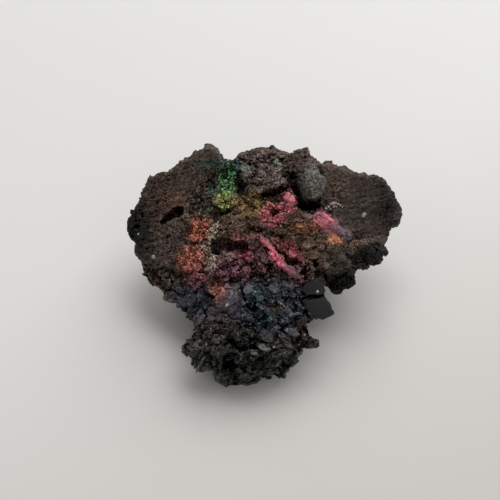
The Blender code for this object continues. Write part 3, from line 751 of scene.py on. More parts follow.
def rock_blooms(c):
    """Where the rock under the film has a colour of its own, and where a near-black brown is painted shade on
    undersides, caves, gaps and dark rims, in the order they lie over each other: colour, centre u, v, size u,
    v, turn in degrees, softness of the edge, strength."""
    return [
        (c.wing_light, (-21.0, 15.0), (9.0, 15.0), 20.0, 0.5, 0.9),
        (c.wing_light, (23.0, 16.0), (5.0, 9.0), 0.0, 0.5, 0.4),
        (c.wing_light, (31.0, 9.0), (7.0, 4.0), 0.0, 0.5, 0.5),
        (c.rust, (-31.0, 15.6), (6.0, 4.0), 30.0, 0.7, 0.28),
        (c.rust, (22.0, 22.0), (4.0, 2.4), 0.0, 0.7, 0.2),
        (c.painted_shade_umber, (-44.0, 7.0), (6.5, 11.0), 0.0, 0.5, 1.0),
        (c.painted_shade_umber, (39.0, 18.0), (9.0, 10.0), 20.0, 0.6, 0.5),
        (c.olive, (-2.0, 5.0), (18.0, 14.0), 0.0, 0.3, 0.95),
        (c.olive, (14.0, 2.0), (9.0, 6.0), -10.0, 0.4, 0.95),
        (c.mauve, (-0.8, 24.5), (10.0, 8.4), 0.0, 0.3, 0.95),
        (c.mauve, (-28.0, -3.0), (9.0, 10.0), 30.0, 0.5, 0.4),
        (c.ash, (15.0, 21.0), (5.0, 6.4), 0.0, 0.2, 0.95),
        (c.painted_shade_umber, (14.6, 15.0), (5.0, 2.0), -4.0, 0.4, 0.7),
        (c.purple, (-8.5, -3.8), (11.5, 5.6), 0.0, 0.4, 0.6),
        (c.painted_shade_umber, (30.5, -5.5), (13.0, 5.6), 24.0, 0.35, 0.8),
        (c.painted_shade_umber, (23.6, -11.0), (6.4, 4.6), 0.0, 0.35, 0.98),
        (c.painted_shade_umber, (18.0, -17.8), (5.6, 6.0), 0.0, 0.2, 0.95),
        (c.wing_light, (24.5, -2.4), (7.0, 5.0), -12.0, 0.45, 0.55),
        (c.rust, (24.0, 2.4), (7.0, 1.4), -6.0, 0.6, 0.5),
        (c.painted_shade_umber, (35.0, -1.0), (5.0, 2.6), -10.0, 0.4, 0.95),
        (c.blue_black, (-24.0, -16.5), (7.4, 6.4), 20.0, 0.35, 1.0),
        (c.blue_black, (1.6, -18.4), (15.4, 9.6), 0.0, 0.25, 1.0),
        (c.knob, (-14.0, -25.6), (9.0, 4.0), 0.0, 0.4, 0.85),
        (c.knob, (-5.0, -36.5), (24.0, 12.6), 0.0, 0.2, 1.0),
        (c.painted_shade_umber, (15.6, -28.6), (4.4, 4.6), 0.0, 0.4, 0.6),
        (c.orange, (22.8, 3.3), (2.4, 1.3), -4.0, 0.3, 0.25),
    ]


def film_blooms(c):
    """Where the film colours the face, told as in rock_blooms."""
    return [
        (c.gold, (-3.0, 14.6), (7.0, 4.0), 0.0, 0.4, 0.9),
        (c.teal, (-12.5, 27.6), (7.5, 2.6), -6.0, 0.6, 0.5),
        (c.teal, (-9.2, 27.0), (2.2, 1.9), 0.0, 0.5, 0.8),
        (c.teal, (-19.8, 28.0), (2.4, 1.2), 0.0, 0.5, 0.6),
        (c.teal, (-17.2, 19.3), (1.8, 2.2), 0.0, 0.5, 0.6),
        (c.green, (-12.0, 22.0), (3.4, 6.0), 0.0, 0.4, 0.9),
        (c.green, (3.6, 27.8), (2.2, 1.8), 0.0, 0.6, 0.4),
        (c.green, (-19.6, 11.6), (3.2, 1.2), 10.0, 0.5, 0.35),
        (c.lime, (-12.8, 15.6), (3.0, 3.2), 10.0, 0.4, 0.85),
        (c.magenta, (7.8, 16.0), (4.6, 2.5), -58.0, 0.3, 0.68),
        (c.magenta, (7.6, 13.2), (2.8, 1.6), 0.0, 0.4, 0.8),
        (c.cream, (5.4, 20.4), (1.6, 1.2), 0.0, 0.5, 0.3),
        (c.magenta, (2.6, 11.4), (4.0, 3.9), 0.0, 0.35, 0.85),
        (c.orange, (11.2, 6.8), (2.8, 1.5), -10.0, 0.5, 0.5),
        (c.red, (15.6, 8.2), (1.8, 2.0), 30.0, 0.5, 0.7),
        (c.lilac, (17.4, 11.2), (3.4, 2.2), -20.0, 0.4, 0.7),
        (c.pink, (20.2, 8.6), (5.2, 2.7), -40.0, 0.3, 0.8),
        (c.lilac, (25.4, 5.6), (4.6, 2.4), -30.0, 0.4, 0.85),
        (c.orange, (22.8, 3.3), (2.6, 1.3), -4.0, 0.2, 0.9),
        (c.red, (-21.2, 6.6), (3.8, 4.4), 0.0, 0.4, 1.0),
        (c.purple, (-8.5, -3.8), (11.5, 5.6), 0.0, 0.35, 0.9),
        (c.red, (-24.0, -2.9), (5.2, 4.2), 0.0, 0.4, 0.8),
        (c.magenta, (-22.8, -8.8), (3.8, 3.4), 0.0, 0.5, 0.5),
        (c.magenta, (-8.0, 3.2), (2.8, 1.4), 14.0, 0.4, 0.7),
        (c.magenta, (-5.9, -1.4), (2.3, 2.0), 0.0, 0.3, 0.9),
        (c.magenta, (6.0, 0.8), (4.4, 2.8), -20.0, 0.4, 0.55),
        (c.magenta, (9.6, -2.2), (3.0, 2.2), 0.0, 0.4, 0.6),
        (c.cream, (-16.8, 6.2), (1.7, 3.2), 0.0, 0.4, 0.9),
        (c.cream, (-18.4, 1.0), (2.3, 1.8), 0.0, 0.5, 0.8),
        (c.cream, (-17.3, -3.8), (2.0, 3.6), 0.0, 0.5, 0.8),
        (c.cream, (-11.6, -1.8), (2.6, 1.3), 0.0, 0.5, 0.35),
        (c.olive, (-0.6, -3.6), (2.6, 3.4), -50.0, 0.4, 0.7),
        (c.purple, (11.0, -8.6), (4.2, 3.0), -30.0, 0.5, 0.8),
        (c.olive, (16.4, -5.4), (1.6, 3.2), 18.0, 0.4, 0.8),
        (c.teal, (-2.2, -13.4), (2.4, 2.2), 0.0, 0.6, 0.4),
        (c.teal, (0.1, -21.2), (3.0, 3.0), 0.0, 0.6, 0.5),
        (c.rust, (3.4, -18.4), (3.2, 1.6), 0.0, 0.5, 0.4),
        (c.rust, (11.4, -23.0), (1.8, 1.6), 0.0, 0.5, 0.5),
        (c.lilac, (-11.4, -16.5), (5.0, 5.8), -10.0, 0.3, 0.6),
        (c.lilac, (-16.0, -20.4), (4.8, 2.6), 10.0, 0.35, 0.5),
        (c.red, (-15.2, -12.4), (3.0, 3.2), 0.0, 0.6, 0.5),
        (c.mauve, (-13.8, -25.2), (7.0, 2.8), 0.0, 0.5, 0.25),
        (c.rust, (-14.0, -26.0), (3.6, 2.0), 0.0, 0.7, 0.12),
    ]


# Faces turned from the light: centre u, v, size u, v, turn in degrees, softness of the edge, share of dark.
SHADED = [
    ((34.4, -1.6), (6.8, 3.6), 20.0, 0.35, 0.65),
    ((26.0, -5.0), (7.0, 5.0), -12.0, 0.5, 0.25),
    ((-24.5, -17.0), (7.0, 6.0), 20.0, 0.5, 0.35),
    ((2.0, -25.0), (14.0, 4.0), 0.0, 0.5, 0.3),
    ((0.4, 2.6), (4.0, 2.0), -42.0, 0.5, 0.45),
    ((11.0, -8.8), (5.0, 2.6), -36.0, 0.5, 0.45),
    ((-25.0, -8.0), (5.0, 4.0), 0.0, 0.5, 0.2),
    ((24.6, -11.6), (6.2, 4.2), 10.0, 0.3, 0.7),
    ((41.0, 12.0), (3.6, 9.0), 12.0, 0.6, 0.6),
    ((-43.6, 8.0), (3.0, 7.0), -8.0, 0.5, 0.6),
    ((-36.0, -9.0), (4.0, 9.0), 28.0, 0.6, 0.35),
    ((2.6, 19.0), (7.0, 1.9), 12.0, 0.4, 0.35),
    ((9.4, 22.0), (2.6, 4.2), 10.0, 0.4, 0.3),
    ((14.4, 13.8), (5.4, 2.0), -4.0, 0.3, 0.85),
    ((15.4, -14.4), (5.0, 1.0), -4.0, 0.3, 0.95),
    ((-6.0, -35.6), (4.6, 3.4), 60.0, 0.6, 0.5),
]


def film_streaks(c):
    """Straight bands of film: colour, start u, v, w, end u, v, w, half width, strength."""
    return [
        (c.magenta, (-2.2, 4.6, 6.0), (0.6, 1.8, 6.6), 0.9, 0.8),
        (c.magenta, (0.6, 1.8, 6.6), (2.8, -1.4, 6.6), 1.1, 0.85),
        (c.pink, (2.2, -0.8, 6.6), (4.8, -4.4, 6.6), 1.5, 0.9),
        (c.pink, (4.8, -4.4, 6.6), (7.2, -6.4, 6.0), 1.3, 0.5),
        (c.purple, (8.0, -7.0, 5.4), (12.4, -10.0, 4.6), 2.0, 0.5),
    ]


def new_material(name):
    """A new material, its nodes and its surface shader."""
    material = bpy.data.materials.new(name)
    material.use_nodes = True
    return material, Nodes(material.node_tree), material.node_tree.nodes["Principled BSDF"]


def goethite_material():
    """Goethite with its iridescent film, for the whole rock and what grows on it."""
    c = colours()
    material, n, surface = new_material("goethite_with_film")
    bloom, streak = bloom_group(), streak_group()
    place = face_place(n)

    # The film's edge wanders, and it changes from crystal to crystal.
    fine = n.wander(place, 1.3)
    to_crystal = n.vector("SUBTRACT", n.voronoi(place, 0.9, "Position"), place)
    bent = n.moved(place, (n.wander(place, 0.28), 4.0), (fine, 2.2), (to_crystal, 0.8))
    flat = n.vector("MULTIPLY", bent, (1.0, 1.0, DEPTH_SHARE))

    # Bare rock: brown wings in front, darker broken rock at the sides and back.
    split = n.add("ShaderNodeSeparateXYZ")
    n.put(split.inputs[0], bent)
    height = split.outputs[2]
    rock = n.mix(n.step(height, -16.0, -11.0), c.rock, c.wing)
    patchy = n.noise(place, 0.16, 3.0, 0.6)
    rock = n.mix(n.step(patchy, 0.42, 0.62, 0.0, 0.5), rock, c.wing_light)
    streaks = n.noise(n.vector("MULTIPLY", bent, (0.22, 1.3, 0.8)), 1.0, 3.0, 0.65)
    tone = n.mix(1.0, rock, n.step(streaks, 0.3, 0.7, 0.55, 1.45, smooth=False), blend="MULTIPLY")

    film = n.step(n.noise(place, 0.95, 2.0, 0.7), 0.34, 0.52, 0.25, 1.0)
    film = n.times(film, n.step(height, -11.0, -6.0))
    for share, blooms in ((1.0, rock_blooms(c)), (film, film_blooms(c))):
        for hue, *shape, strength in blooms:
            mask = bloom_mask(n, bloom, flat, *shape)
            tone = n.mix(n.times(mask, strength, share), tone, tuple(hue))
    for hue, start, end, width, strength in film_streaks(c):
        start, end = ((u, v, w * DEPTH_SHARE) for u, v, w in (start, end))
        mask = n.group(streak, place=flat, start=start, end=end, width=width, edge=0.3)["Mask"]
        tone = n.mix(n.times(mask, strength), tone, tuple(hue))

    # Grit: each crystal is lighter or darker; creases and hollows get painted shade near black, and tops get
    # painted light.
    grit = n.noise(place, 1.9, 2.0, 0.7)
    spots = n.math("POWER", 9.0, n.step(grit, 0.34, 0.66, -1.0, 1.0, smooth=False))
    specks = n.math("SUBTRACT", n.times(spots, 0.75), 1.0)
    light = n.math("ADD", 1.0, n.times(n.attribute("speckle"), specks))
    for value, low, high, to_low, to_high in (
        (n.noise(place, 0.8, 2.0, 0.6), 0.3, 0.7, 0.7, 1.35),
        # the two depths: painted shade in hollows, painted light on tops
        (n.attribute("hollow_near"), -0.16, 0.12, 1.7, 0.2),
        (n.attribute("hollow_wide"), -0.8, 1.1, 1.35, 0.12),
        (n.attribute("crystal_tone"), 0.1, 0.9, 0.55, 1.6),
        # painted shade in creases, cracks, pores and cave walls
        (n.attribute("crystal_edge"), 0.0, 0.25, 0.1, 1.0),
    ):
        light = n.times(light, n.step(value, low, high, to_low, to_high, smooth=False))
    light = n.times(light, n.math("ADD", 1.0, n.attribute("grain_shade")))
    for *shape, strength in SHADED:
        mask = bloom_mask(n, bloom, flat, *shape)
        light = n.times(light, n.math("SUBTRACT", 1.0, n.times(mask, strength)))
    tone = n.mix(1.0, tone, n.math("MINIMUM", light, 2.6), blend="MULTIPLY")
    n.put(surface.inputs["Base Color"], tone)

    # The blue-black plates and the knob shine like metal, and so do the darkest gaps, which keeps them black.
    metal = n.group(
        bloom, place=flat, centre=(-2.0, -26.0, BLOOM_W), size=(21.0, 17.5, 6.0), turn=0.0, edge=0.2
    )["Mask"]
    deep = n.step(light, 0.08, 0.45, 1.0, 0.0)
    n.put(surface.inputs["Metallic"], n.math("MAXIMUM", deep, n.times(metal, 0.4)))
    rough = n.step(grit, 0.3, 0.7, 0.72, 0.5, smooth=False)
    n.put(surface.inputs["Roughness"], n.math("SUBTRACT", rough, n.times(metal, 0.2)))
    surface.inputs["Specular IOR Level"].default_value = 0.35

    # Small broken facets, each tipped its own way, over grit and fibres.
    fibre = n.add("ShaderNodeMapping")
    n.put(fibre.inputs["Vector"], place)
    fibre.inputs["Rotation"].default_value = (0.0, 0.0, math.radians(-20.0))
    fibre.inputs["Scale"].default_value = (0.35, 2.2, 1.0)
    grooves = n.noise(fibre.outputs[0], 1.0, 3.0, 0.6)
    tipped = n.bump(n.math("ADD", n.times(grit, 0.8), n.times(grooves, 0.6)), 0.7, 0.25)
    facet = n.attribute("facet")
    bowed = n.moved(place, (fine, 0.9))
    for pitch, strength in ((1.9, 0.8), (0.75, 1.0)):
        tip = n.vector("SUBTRACT", n.voronoi(bowed, 1.0 / pitch, "Color"), (0.5, 0.5, 0.5))
        tipped = n.moved(tipped, (tip, n.times(facet, strength)))
    n.put(surface.inputs["Normal"], n.vector("NORMALIZE", tipped))
    return material


def quartz_material():
    """Pale, cloudy quartz."""
    material, n, surface = new_material("pale_quartz")
    place = face_place(n)
    cloudy = n.noise(place, 1.2, 3.0, 0.6)
    tone = n.mix(n.step(cloudy, 0.35, 0.65), (0.50, 0.45, 0.39), (0.20, 0.17, 0.14))
    n.put(surface.inputs["Base Color"], tone)
    n.put(surface.inputs["Roughness"], n.step(cloudy, 0.3, 0.7, 0.25, 0.45))
    return material


def tablet_material():
    """Smooth dark grey goethite, faintly streaked."""
    material, n, surface = new_material("smooth_tablet")
    place = face_place(n)
    streaky = n.noise(n.vector("MULTIPLY", place, (0.3, 1.6, 0.6)), 1.0, 3.0, 0.55)
    tone = n.mix(n.step(streaky, 0.35, 0.65), tint(12, 13, 15), tint(20, 21, 23))
    n.put(surface.inputs["Base Color"], tone)
    n.put(surface.inputs["Roughness"], n.step(streaky, 0.3, 0.7, 0.42, 0.56))
    n.put(surface.inputs["Normal"], n.bump(n.noise(place, 2.5, 3.0), 0.25, 0.1))
    return material


def floor_material():
    """A pale floor with painted shade: a little darker in front and to the right, where the light falls off.
    """
    material, n, surface = new_material("pale_floor")
    spot = n.add("ShaderNodeTexCoord").outputs["Object"]
    faint = n.noise(spot, 18.0, 2.0)
    floor = tuple(stage().floor)
    split = n.add("ShaderNodeSeparateXYZ")
    n.put(split.inputs[0], spot)
    slope = n.math("SUBTRACT", n.times(split.outputs[0], 0.5), split.outputs[1])
    painted_falloff_and_mottle = n.math("ADD", n.step(slope, -0.08, 0.16, 0.0, 1.0), n.step(faint, 0.3, 0.7, -0.02, 0.02))
    n.put(surface.inputs["Base Color"], n.mix(painted_falloff_and_mottle, floor, tuple(stage().floor_front)))
    surface.inputs["Roughness"].default_value = 0.8
    surface.inputs["Specular IOR Level"].default_value = 0.2
    return material


_made = {}


def material(name, maker):
    if name not in _made:
        _made[name] = maker()
    return _made[name]


# ---------------------------------------------------------------------------------------------- operators


def carve(mass):
    """Gives the skin its fine relief. Returns the new places, the marks that the material reads and how far
    each vertex looks out of the face."""
    mesh, sizes = mass.data, form()
    points, out = positions(mesh), normals(mesh)
    spots, facing = to_face(points), out @ FACE_TURN
    area = zones(mesh)
    fibre, crust, blocks = sizes.fibre / MM, sizes.crust / MM, sizes.blocks / MM

    def sway(pitch, seed):
        return np.stack([smooth_noise(spots, pitch, seed + axis, 2) for axis in range(3)], axis=1)

    bent = spots + 1.6 * sway(4.5, 50) + 0.5 * sway(1.4, 60)
    loose = spots + 1.2 * sway(6.0, 70) + 0.25 * sway(1.4, 60)
    big, big_edge, big_tone = chunks(bent, facing, 4.2, 11, 0.40 * blocks, 0.45 * blocks, 0.7 * blocks)
    small, small_edge, small_tone = chunks(bent, facing, 1.9, 12, 0.5 * blocks, 0.2 * blocks, 0.25 * blocks)
    tiny, _, tiny_tone = chunks(bent, facing, 0.9, 13, 0.5 * blocks, 0.08 * blocks, 0.1 * blocks)
    plate, plate_edge, plate_tone = chunks(bent, facing, 4.2, 14, 0.6 * blocks, 0.6 * blocks, 1.1 * blocks,
                                           (1.25, 1.0, 1.0))
    slab, slab_edge, slab_tone = chunks(bent, facing, 6.5, 44, 0.3 * blocks, 0.3 * blocks, 0.3 * blocks)
    flake, flake_gap = leaves(loose, 4.6, 2.4, 33)
    sheet, sheet_gap, sheet_tone = ledges(loose, 1.7, 6.5, 35, 70.0, 0.9)
    clump, clump_edge, _ = bubbles(bent, 5.2, 27, 1.9 * crust)
    kidney, _, kidney_tone = bubbles(bent, 2.6, 15, 1.2 * crust)
    bubble, _, bubble_tone = bubbles(bent, 1.2, 16, 0.5 * crust)
    rough = smooth_noise(spots, 1.1, 17, 3)
    fine = smooth_noise(spots, 0.62, 28, 1)
    fissure = 1.0 - smooth_step(0.0, 0.16, np.abs(smooth_noise(bent, 5.0, 25, 3)))
    fissure *= smooth_step(-0.2, 0.3, smooth_noise(spots, 6.0, 26, 1))
    hole = smooth_step(0.30, 0.52, smooth_noise(bent, 2.3, 29, 2))
    swell = smooth_noise(spots, 4.2, 18, 3)
    lift = (area["broken"] + area["slab"]) * (slab + 0.35 * small + 0.5 * tiny
                                              + blocks * (0.3 * rough + 0.15 * fine))
    lift += area["broken"] * (0.45 * big + 0.6 * blocks * swell)
    lift += area["rim"] * (0.45 * small + 0.6 * tiny + 0.3 * blocks * rough)
    lift += area["lump"] * (0.25 * small + 0.5 * tiny
                            + blocks * (0.5 * smooth_noise(spots, 3.4, 45, 2) + 0.25 * rough))
    lift += (1.15 * area["knob"] + area["plates"]) * (
        plate + 0.5 * small + 0.4 * tiny + blocks * (0.3 * flake - 0.7 - 0.2 * (1.0 - flake_gap) - hole))
    lift += area["crust"] * (clump + 0.35 * kidney + 0.4 * bubble + 0.5 * small + 0.5 * tiny
                             + crust * (1.4 * swell + 0.9 * rough + 0.6 * fine - 2.0 * fissure - 2.6 * hole))
    lift += area["shelf"] * (0.4 * clump + crust * (1.3 * sheet - 0.8 - 0.5 * (1.0 - sheet_gap) + 0.7 * swell
                                                    + 0.5 * rough + 0.5 * fine - 1.4 * fissure - 1.4 * hole))
    fibres = smooth_noise(spots, 0.7, 19, 2, (5.0, 1.0, 2.0), 14.0)
    pores = smooth_step(0.45, 0.75, smooth_noise(spots, 0.9, 20, 2, (1.6, 1.0, 1.0), 14.0))
    gritty = smooth_step(-0.1, 0.4, smooth_noise(spots, 9.0, 21, 2) + smooth_step(-24.0, -38.0, spots[:, 0])
                         * smooth_step(-8.0, 2.0, spots[:, 1]))
    bands, _, band_tone = ledges(spots * (0.45, 1.0, 1.0) + 0.5 * sway(5.0, 80), 3.4, 14.0, 37, 40.0, 0.9)
    lift += area["wing"] * (
        fibre * (0.7 * fibres + 0.6 * rough - 1.8 * pores * (0.3 + 0.7 * gritty) + 0.4 * fine
                 + 1.2 * smooth_noise(spots, 5.0, 22, 2) + 0.5 * (bands - 0.5))
        + gritty * (0.6 * tiny + 0.3 * small))
    lift += area["calm"] * fibre * (0.6 * rough + 1.2 * smooth_noise(spots, 2.8, 23, 2) + 0.3 * fine)
    lift *= smooth_step(0.0, 1.2, points[:, 2] / MM)
    moved = within_box(points + out * (lift * MM)[:, None])
    moved[points[:, 2] < FOOT_HEIGHT * MM, 2] = CAD_BOX[0][2]
    mesh.vertices.foreach_set("co", moved.astype(np.float32).ravel())
    mesh.update()

    def blend(**kinds):
        return sum(area[kind] * value for kind, value in kinds.items())

    # Random tone of each crystal, cell and plate; the rims' lower tone is painted shade along the dark
    # outline
    tone = blend(
        broken=0.4 * slab_tone + 0.2 * big_tone + 0.2 * small_tone + 0.2 * tiny_tone,
        rim=0.1 + 0.3 * small_tone + 0.3 * tiny_tone,
        slab=0.5 * slab_tone + 0.2 * small_tone + 0.3 * tiny_tone,
        lump=0.4 + 0.3 * (tiny_tone + small_tone - 1.0),
        knob=0.5 * plate_tone + 0.2 * flake + 0.3 * small_tone,
        plates=0.5 * plate_tone + 0.2 * flake + 0.3 * small_tone,
        crust=0.3 * kidney_tone + 0.3 * bubble_tone + 0.4 * tiny_tone,
        shelf=0.5 * sheet_tone + 0.25 * small_tone + 0.25 * tiny_tone,
        wing=0.5 + 0.25 * (band_tone - 0.5) + 0.3 * (tiny_tone - 0.5) * gritty,
        calm=0.5,
    )
    # Painted shade: creases, cracks, pores and the gaps under plates go near black, and the walls of the
    # openings darker still
    crease = blend(
        broken=np.minimum(slab_edge, big_edge) + 0.1,
        rim=small_edge + 0.08,
        slab=slab_edge + 0.12,
        lump=1.0,
        knob=np.minimum(plate_edge, 0.3 * (1.0 - hole)),
        plates=np.minimum(np.minimum(plate_edge, 0.1 + 0.3 * flake_gap), 0.3 * (1.0 - hole)),
        crust=np.minimum(clump_edge + 0.08, 0.3 * (1.0 - np.maximum(fissure, hole))),
        shelf=np.minimum(0.06 + 0.3 * sheet_gap, 0.3 * (1.0 - np.maximum(fissure, hole))),
        wing=1.0 - 0.9 * pores,
        calm=1.0,
    )
    crease *= 1.0 - 0.75 * np.max([near(spots, centre, np.array(radii) * 1.12, turn_deg, 0.2)
                                  for centre, radii, turn_deg in OPENINGS], axis=0)
    speckle = blend(broken=0.45, slab=0.5, lump=0.4, rim=0.5, knob=0.35, plates=0.45, crust=0.95, shelf=0.7,
                    wing=0.22 + 0.3 * gritty, calm=0.1)
    facet = blend(broken=0.6, slab=0.5, lump=0.5, rim=0.7, knob=0.9, plates=1.0, crust=0.9, shelf=0.8,
                  wing=0.25 + 0.4 * gritty, calm=0.15)
    marks = {"crystal_tone": tone, "crystal_edge": crease, "speckle": speckle, "facet": facet}
    return moved, marks, smooth_step(-0.2, 0.5, facing[:, 2])


# The skin is thinned in so many steps, of which the display face gets the least.
THIN_STEPS, THIN_LEAST = 8, 2


class GOETHITE_OT_mass(bpy.types.Operator):
    """Makes the rock itself: the specimen's solid with crisp openings and fine relief"""

    bl_idname = "goethite.mass"
    bl_label = "Rock"

    def execute(self, context):
        sizes = form()
        mass = bpy.data.objects.new("goethite_mass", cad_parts[NODE].data.copy())
        context.scene.collection.objects.link(mass)
        edit_mesh(mass, bpy.ops.mesh.remove_doubles, threshold=1e-6)
        apply_modifier(mass, "skin", "REMESH", mode="VOXEL", voxel_size=sizes.grid)
        apply_modifier(mass, "soften", "SMOOTH", factor=0.5, iterations=3)
        openings = join("openings", [add_lump(*opening) for opening in OPENINGS])
        apply_modifier(openings, "skin", "REMESH", mode="VOXEL", voxel_size=sizes.grid)
        apply_modifier(mass, "open", "BOOLEAN", operation="DIFFERENCE", object=openings, solver="EXACT")
        bpy.data.objects.remove(openings)
        apply_modifier(mass, "skin", "REMESH", mode="VOXEL", voxel_size=sizes.grid)
        carved, marks, front = carve(mass)
        group = mass.vertex_groups.new(name="thin")
        steps = np.round(THIN_LEAST + (THIN_STEPS - THIN_LEAST) * (1.0 - front)).astype(int)
        for step in range(THIN_LEAST, THIN_STEPS + 1):
            group.add(np.flatnonzero(steps == step).tolist(), step / THIN_STEPS, "REPLACE")
        mass.data.calc_loop_triangles()
        apply_modifier(mass, "thin", "DECIMATE", ratio=min(1.0, sizes.faces / len(mass.data.loop_triangles)),
                       vertex_group="thin", vertex_group_factor=sizes.keep_front)
        mass.vertex_groups.clear()
        tree = KDTree(len(carved))
        for index, point in enumerate(carved):
            tree.insert(point, index)
        tree.balance()
        nearest = [tree.find(vertex.co)[1] for vertex in mass.data.vertices]
        for name, values in marks.items():
            store(mass.data, name, values[nearest])
        mark_hollows(mass)
        smooth_faces(mass, 30.0)
        dress(mass, material("goethite", goethite_material))
        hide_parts(NODE)
        return {"FINISHED"}


def skin_tree():
    """The rock's skin: a tree for rays, its mesh and how deep each vertex lies."""
    mesh = bpy.data.objects["goethite_mass"].data
    depth = np.empty(len(mesh.vertices), np.float32)
    mesh.attributes["hollow_wide"].data.foreach_get("value", depth)
    return ray_tree(mesh), mesh, depth


def face_hit(tree, u, v):
    """Where a line into the face at u, v meets the skin: place, normal and face of the mesh."""
    into = FACE.to_3x3() @ Vector((0.0, 0.0, -1.0))
    place, normal, index, _ = tree.ray_cast(FACE @ Vector((u, v, RAY_START)), into.normalized())
    return place, normal, index


def crystal_form(rng):
    """An icosphere with shifted corners: a stubby crystal of twenty facets."""
    crystal = add_ball(1)
    corners = positions(crystal.data)
    corners *= rng.uniform(0.78, 1.12, (len(corners), 1))
    triangles = np.array([tuple(p.vertices) for p in crystal.data.polygons])
    bpy.data.objects.remove(crystal)
    return corners, triangles


class Pieces:
    """Collects small pieces with a value or two of their own, and makes one mesh of them."""

    def __init__(self):
        self.corners, self.triangles, self.values, self.count = [], [], {}, 0

    def add(self, corners, triangles, **values):
        self.corners.append(corners)
        self.triangles.append(triangles + self.count)
        self.count += len(corners)
        for label, value in values.items():
            self.values.setdefault(label, []).append(np.full(len(corners), value))

    def build(self, name, **constants):
        corners = within_box(np.concatenate(self.corners))
        piece = add_mesh(name, corners.tolist(), np.concatenate(self.triangles).tolist())
        values = {label: np.concatenate(parts) for label, parts in self.values.items()}
        values.update({label: np.full(self.count, value) for label, value in constants.items()})
        for label, value in values.items():
            store(piece.data, label, value)
        return piece


def scatter(name, rng, spots, radius_mm, spread):
    """Crystals of every size on the given places of the skin, as one piece."""
    forms = [crystal_form(rng) for _ in range(6)]
    pieces = Pieces()
    for place, normal, depth in spots:
        corners, triangles = forms[rng.integers(len(forms))]
        radius = radius_mm * MM * rng.uniform(1.0 - spread, 1.0 + spread)
        turn = np.array(Vector(rng.normal(size=3)).normalized().to_track_quat("Z", "Y").to_matrix())
        shape = corners * rng.uniform(0.7, 1.2, 3) * radius
        centre = np.array(place) + np.array(normal) * radius * rng.uniform(-0.25, 0.35)
        # The grain takes the skin's depth, so that it gets the same painted shade in hollows
        pieces.add(shape @ turn.T + centre, triangles,
                   grain_shade=2.6 * rng.uniform() ** 2.2 - 0.7, hollow_wide=depth)
    return pieces.build(name, crystal_tone=0.5, crystal_edge=1.0, speckle=0.5, facet=0.4)


# Banks of round crystals: name, seed, middle u, v, reach u, v, share of the grains, size against the usual.
BANKS = [
    ("crystals_top", 1, (-8.0, 18.0), (18.0, 13.0), 1.2, 1.0),
    ("crystals_left", 2, (-19.0, -2.0), (11.0, 15.0), 1.0, 1.0),
    ("crystals_middle", 3, (-1.0, 2.0), (16.0, 13.0), 1.2, 1.05),
    ("crystals_right", 4, (13.0, 8.0), (10.0, 12.0), 0.6, 0.9),
    ("crystals_foot", 5, (-4.0, -18.0), (24.0, 12.0), 0.9, 1.1),
]


class GOETHITE_OT_crystals(bpy.types.Operator):
    """Grows the small crystals that line the hollow"""

    bl_idname = "goethite.crystals"
    bl_label = "Crystals"

    def execute(self, context):
        sizes = form()
        tree, mesh, depth = skin_tree()
        into_face = FACE_TURN[:, 2]
        for name, seed, middle, reach, share, size in BANKS:
            rng = np.random.default_rng(seed)
            wanted = int(share * sizes.grains)
            around = rng.uniform(0.0, 2.0 * math.pi, 4 * wanted)
            out = np.sqrt(rng.uniform(0.0, 1.0, 4 * wanted))
            across = middle[0] + reach[0] * out * np.cos(around)
            up = middle[1] + reach[1] * out * np.sin(around)
            hits = [face_hit(tree, u, v) for u, v in zip(across, up)]
            hits = [hit for hit in hits if hit[0] is not None and np.array(hit[1]) @ into_face > 0.15]
            here = to_face(np.array([place for place, _, _ in hits]))
            bare = np.max([1.4 * near(here, *spot) for spot in BARE_SPOTS]
                          + [0.7 * near(here, *spot) for spot in SHELVES], axis=0)
            kept = [hits[index] for index in np.flatnonzero(rng.uniform(size=len(hits)) > bare)[:wanted]]
            spots = [(place, normal, float(depth[mesh.polygons[index].vertices[0]]))
                     for place, normal, index in kept]
            piece = scatter(name, rng, spots, size * sizes.grain / MM, 0.45)
            dress(piece, material("goethite", goethite_material))
        return {"FINISHED"}


def plate_form(rng):
    """A broken plate: a stubby crystal cut flat above and below."""
    corners, triangles = crystal_form(rng)
    corners[:, 2] = np.clip(corners[:, 2], -0.42, 0.42)
    return corners, triangles


# Broken plates: name, seed, kind of surface, and their sizes: number, (length, width, thickness) in mm, tilt.
PLATES = [
    ("knob_plates", 11, "knob",
     ((230, (5.6, 2.8, 1.5), 0.45), (460, (2.8, 1.7, 1.0), 0.6), (1000, (1.2, 0.8, 0.6), 0.8))),
    ("blue_black_plates", 12, "plates",
     ((150, (4.4, 3.2, 2.0), 0.5), (380, (2.4, 1.7, 1.2), 0.6), (1200, (1.1, 0.8, 0.6), 0.8))),
    ("hollow_plates", 14, "crust", ((150, (3.6, 2.6, 1.8), 0.6), (500, (1.9, 1.4, 1.1), 0.8))),
    ("shelf_plates", 15, "shelf", ((80, (5.2, 3.4, 1.2), 0.25), (240, (2.4, 1.6, 0.9), 0.45))),
    ("wing_plates", 16, "rim", ((90, (2.6, 1.6, 0.9), 0.4), (400, (1.3, 0.9, 0.6), 0.6))),
    ("block_plates", 13, "slab",
     ((60, (4.6, 3.2, 1.2), 0.25), (160, (2.4, 1.6, 0.9), 0.5), (500, (1.1, 0.8, 0.6), 0.8))),
]


def reach_out(tree, corners):
    """How far the furthest of the corners stands out of the skin."""
    furthest = 0.0
    for corner in corners:
        place, normal, _, distance = tree.find_nearest(Vector(corner))
        if (Vector(corner) - place).dot(normal) > 0.0:
            furthest = max(furthest, distance)
    return furthest


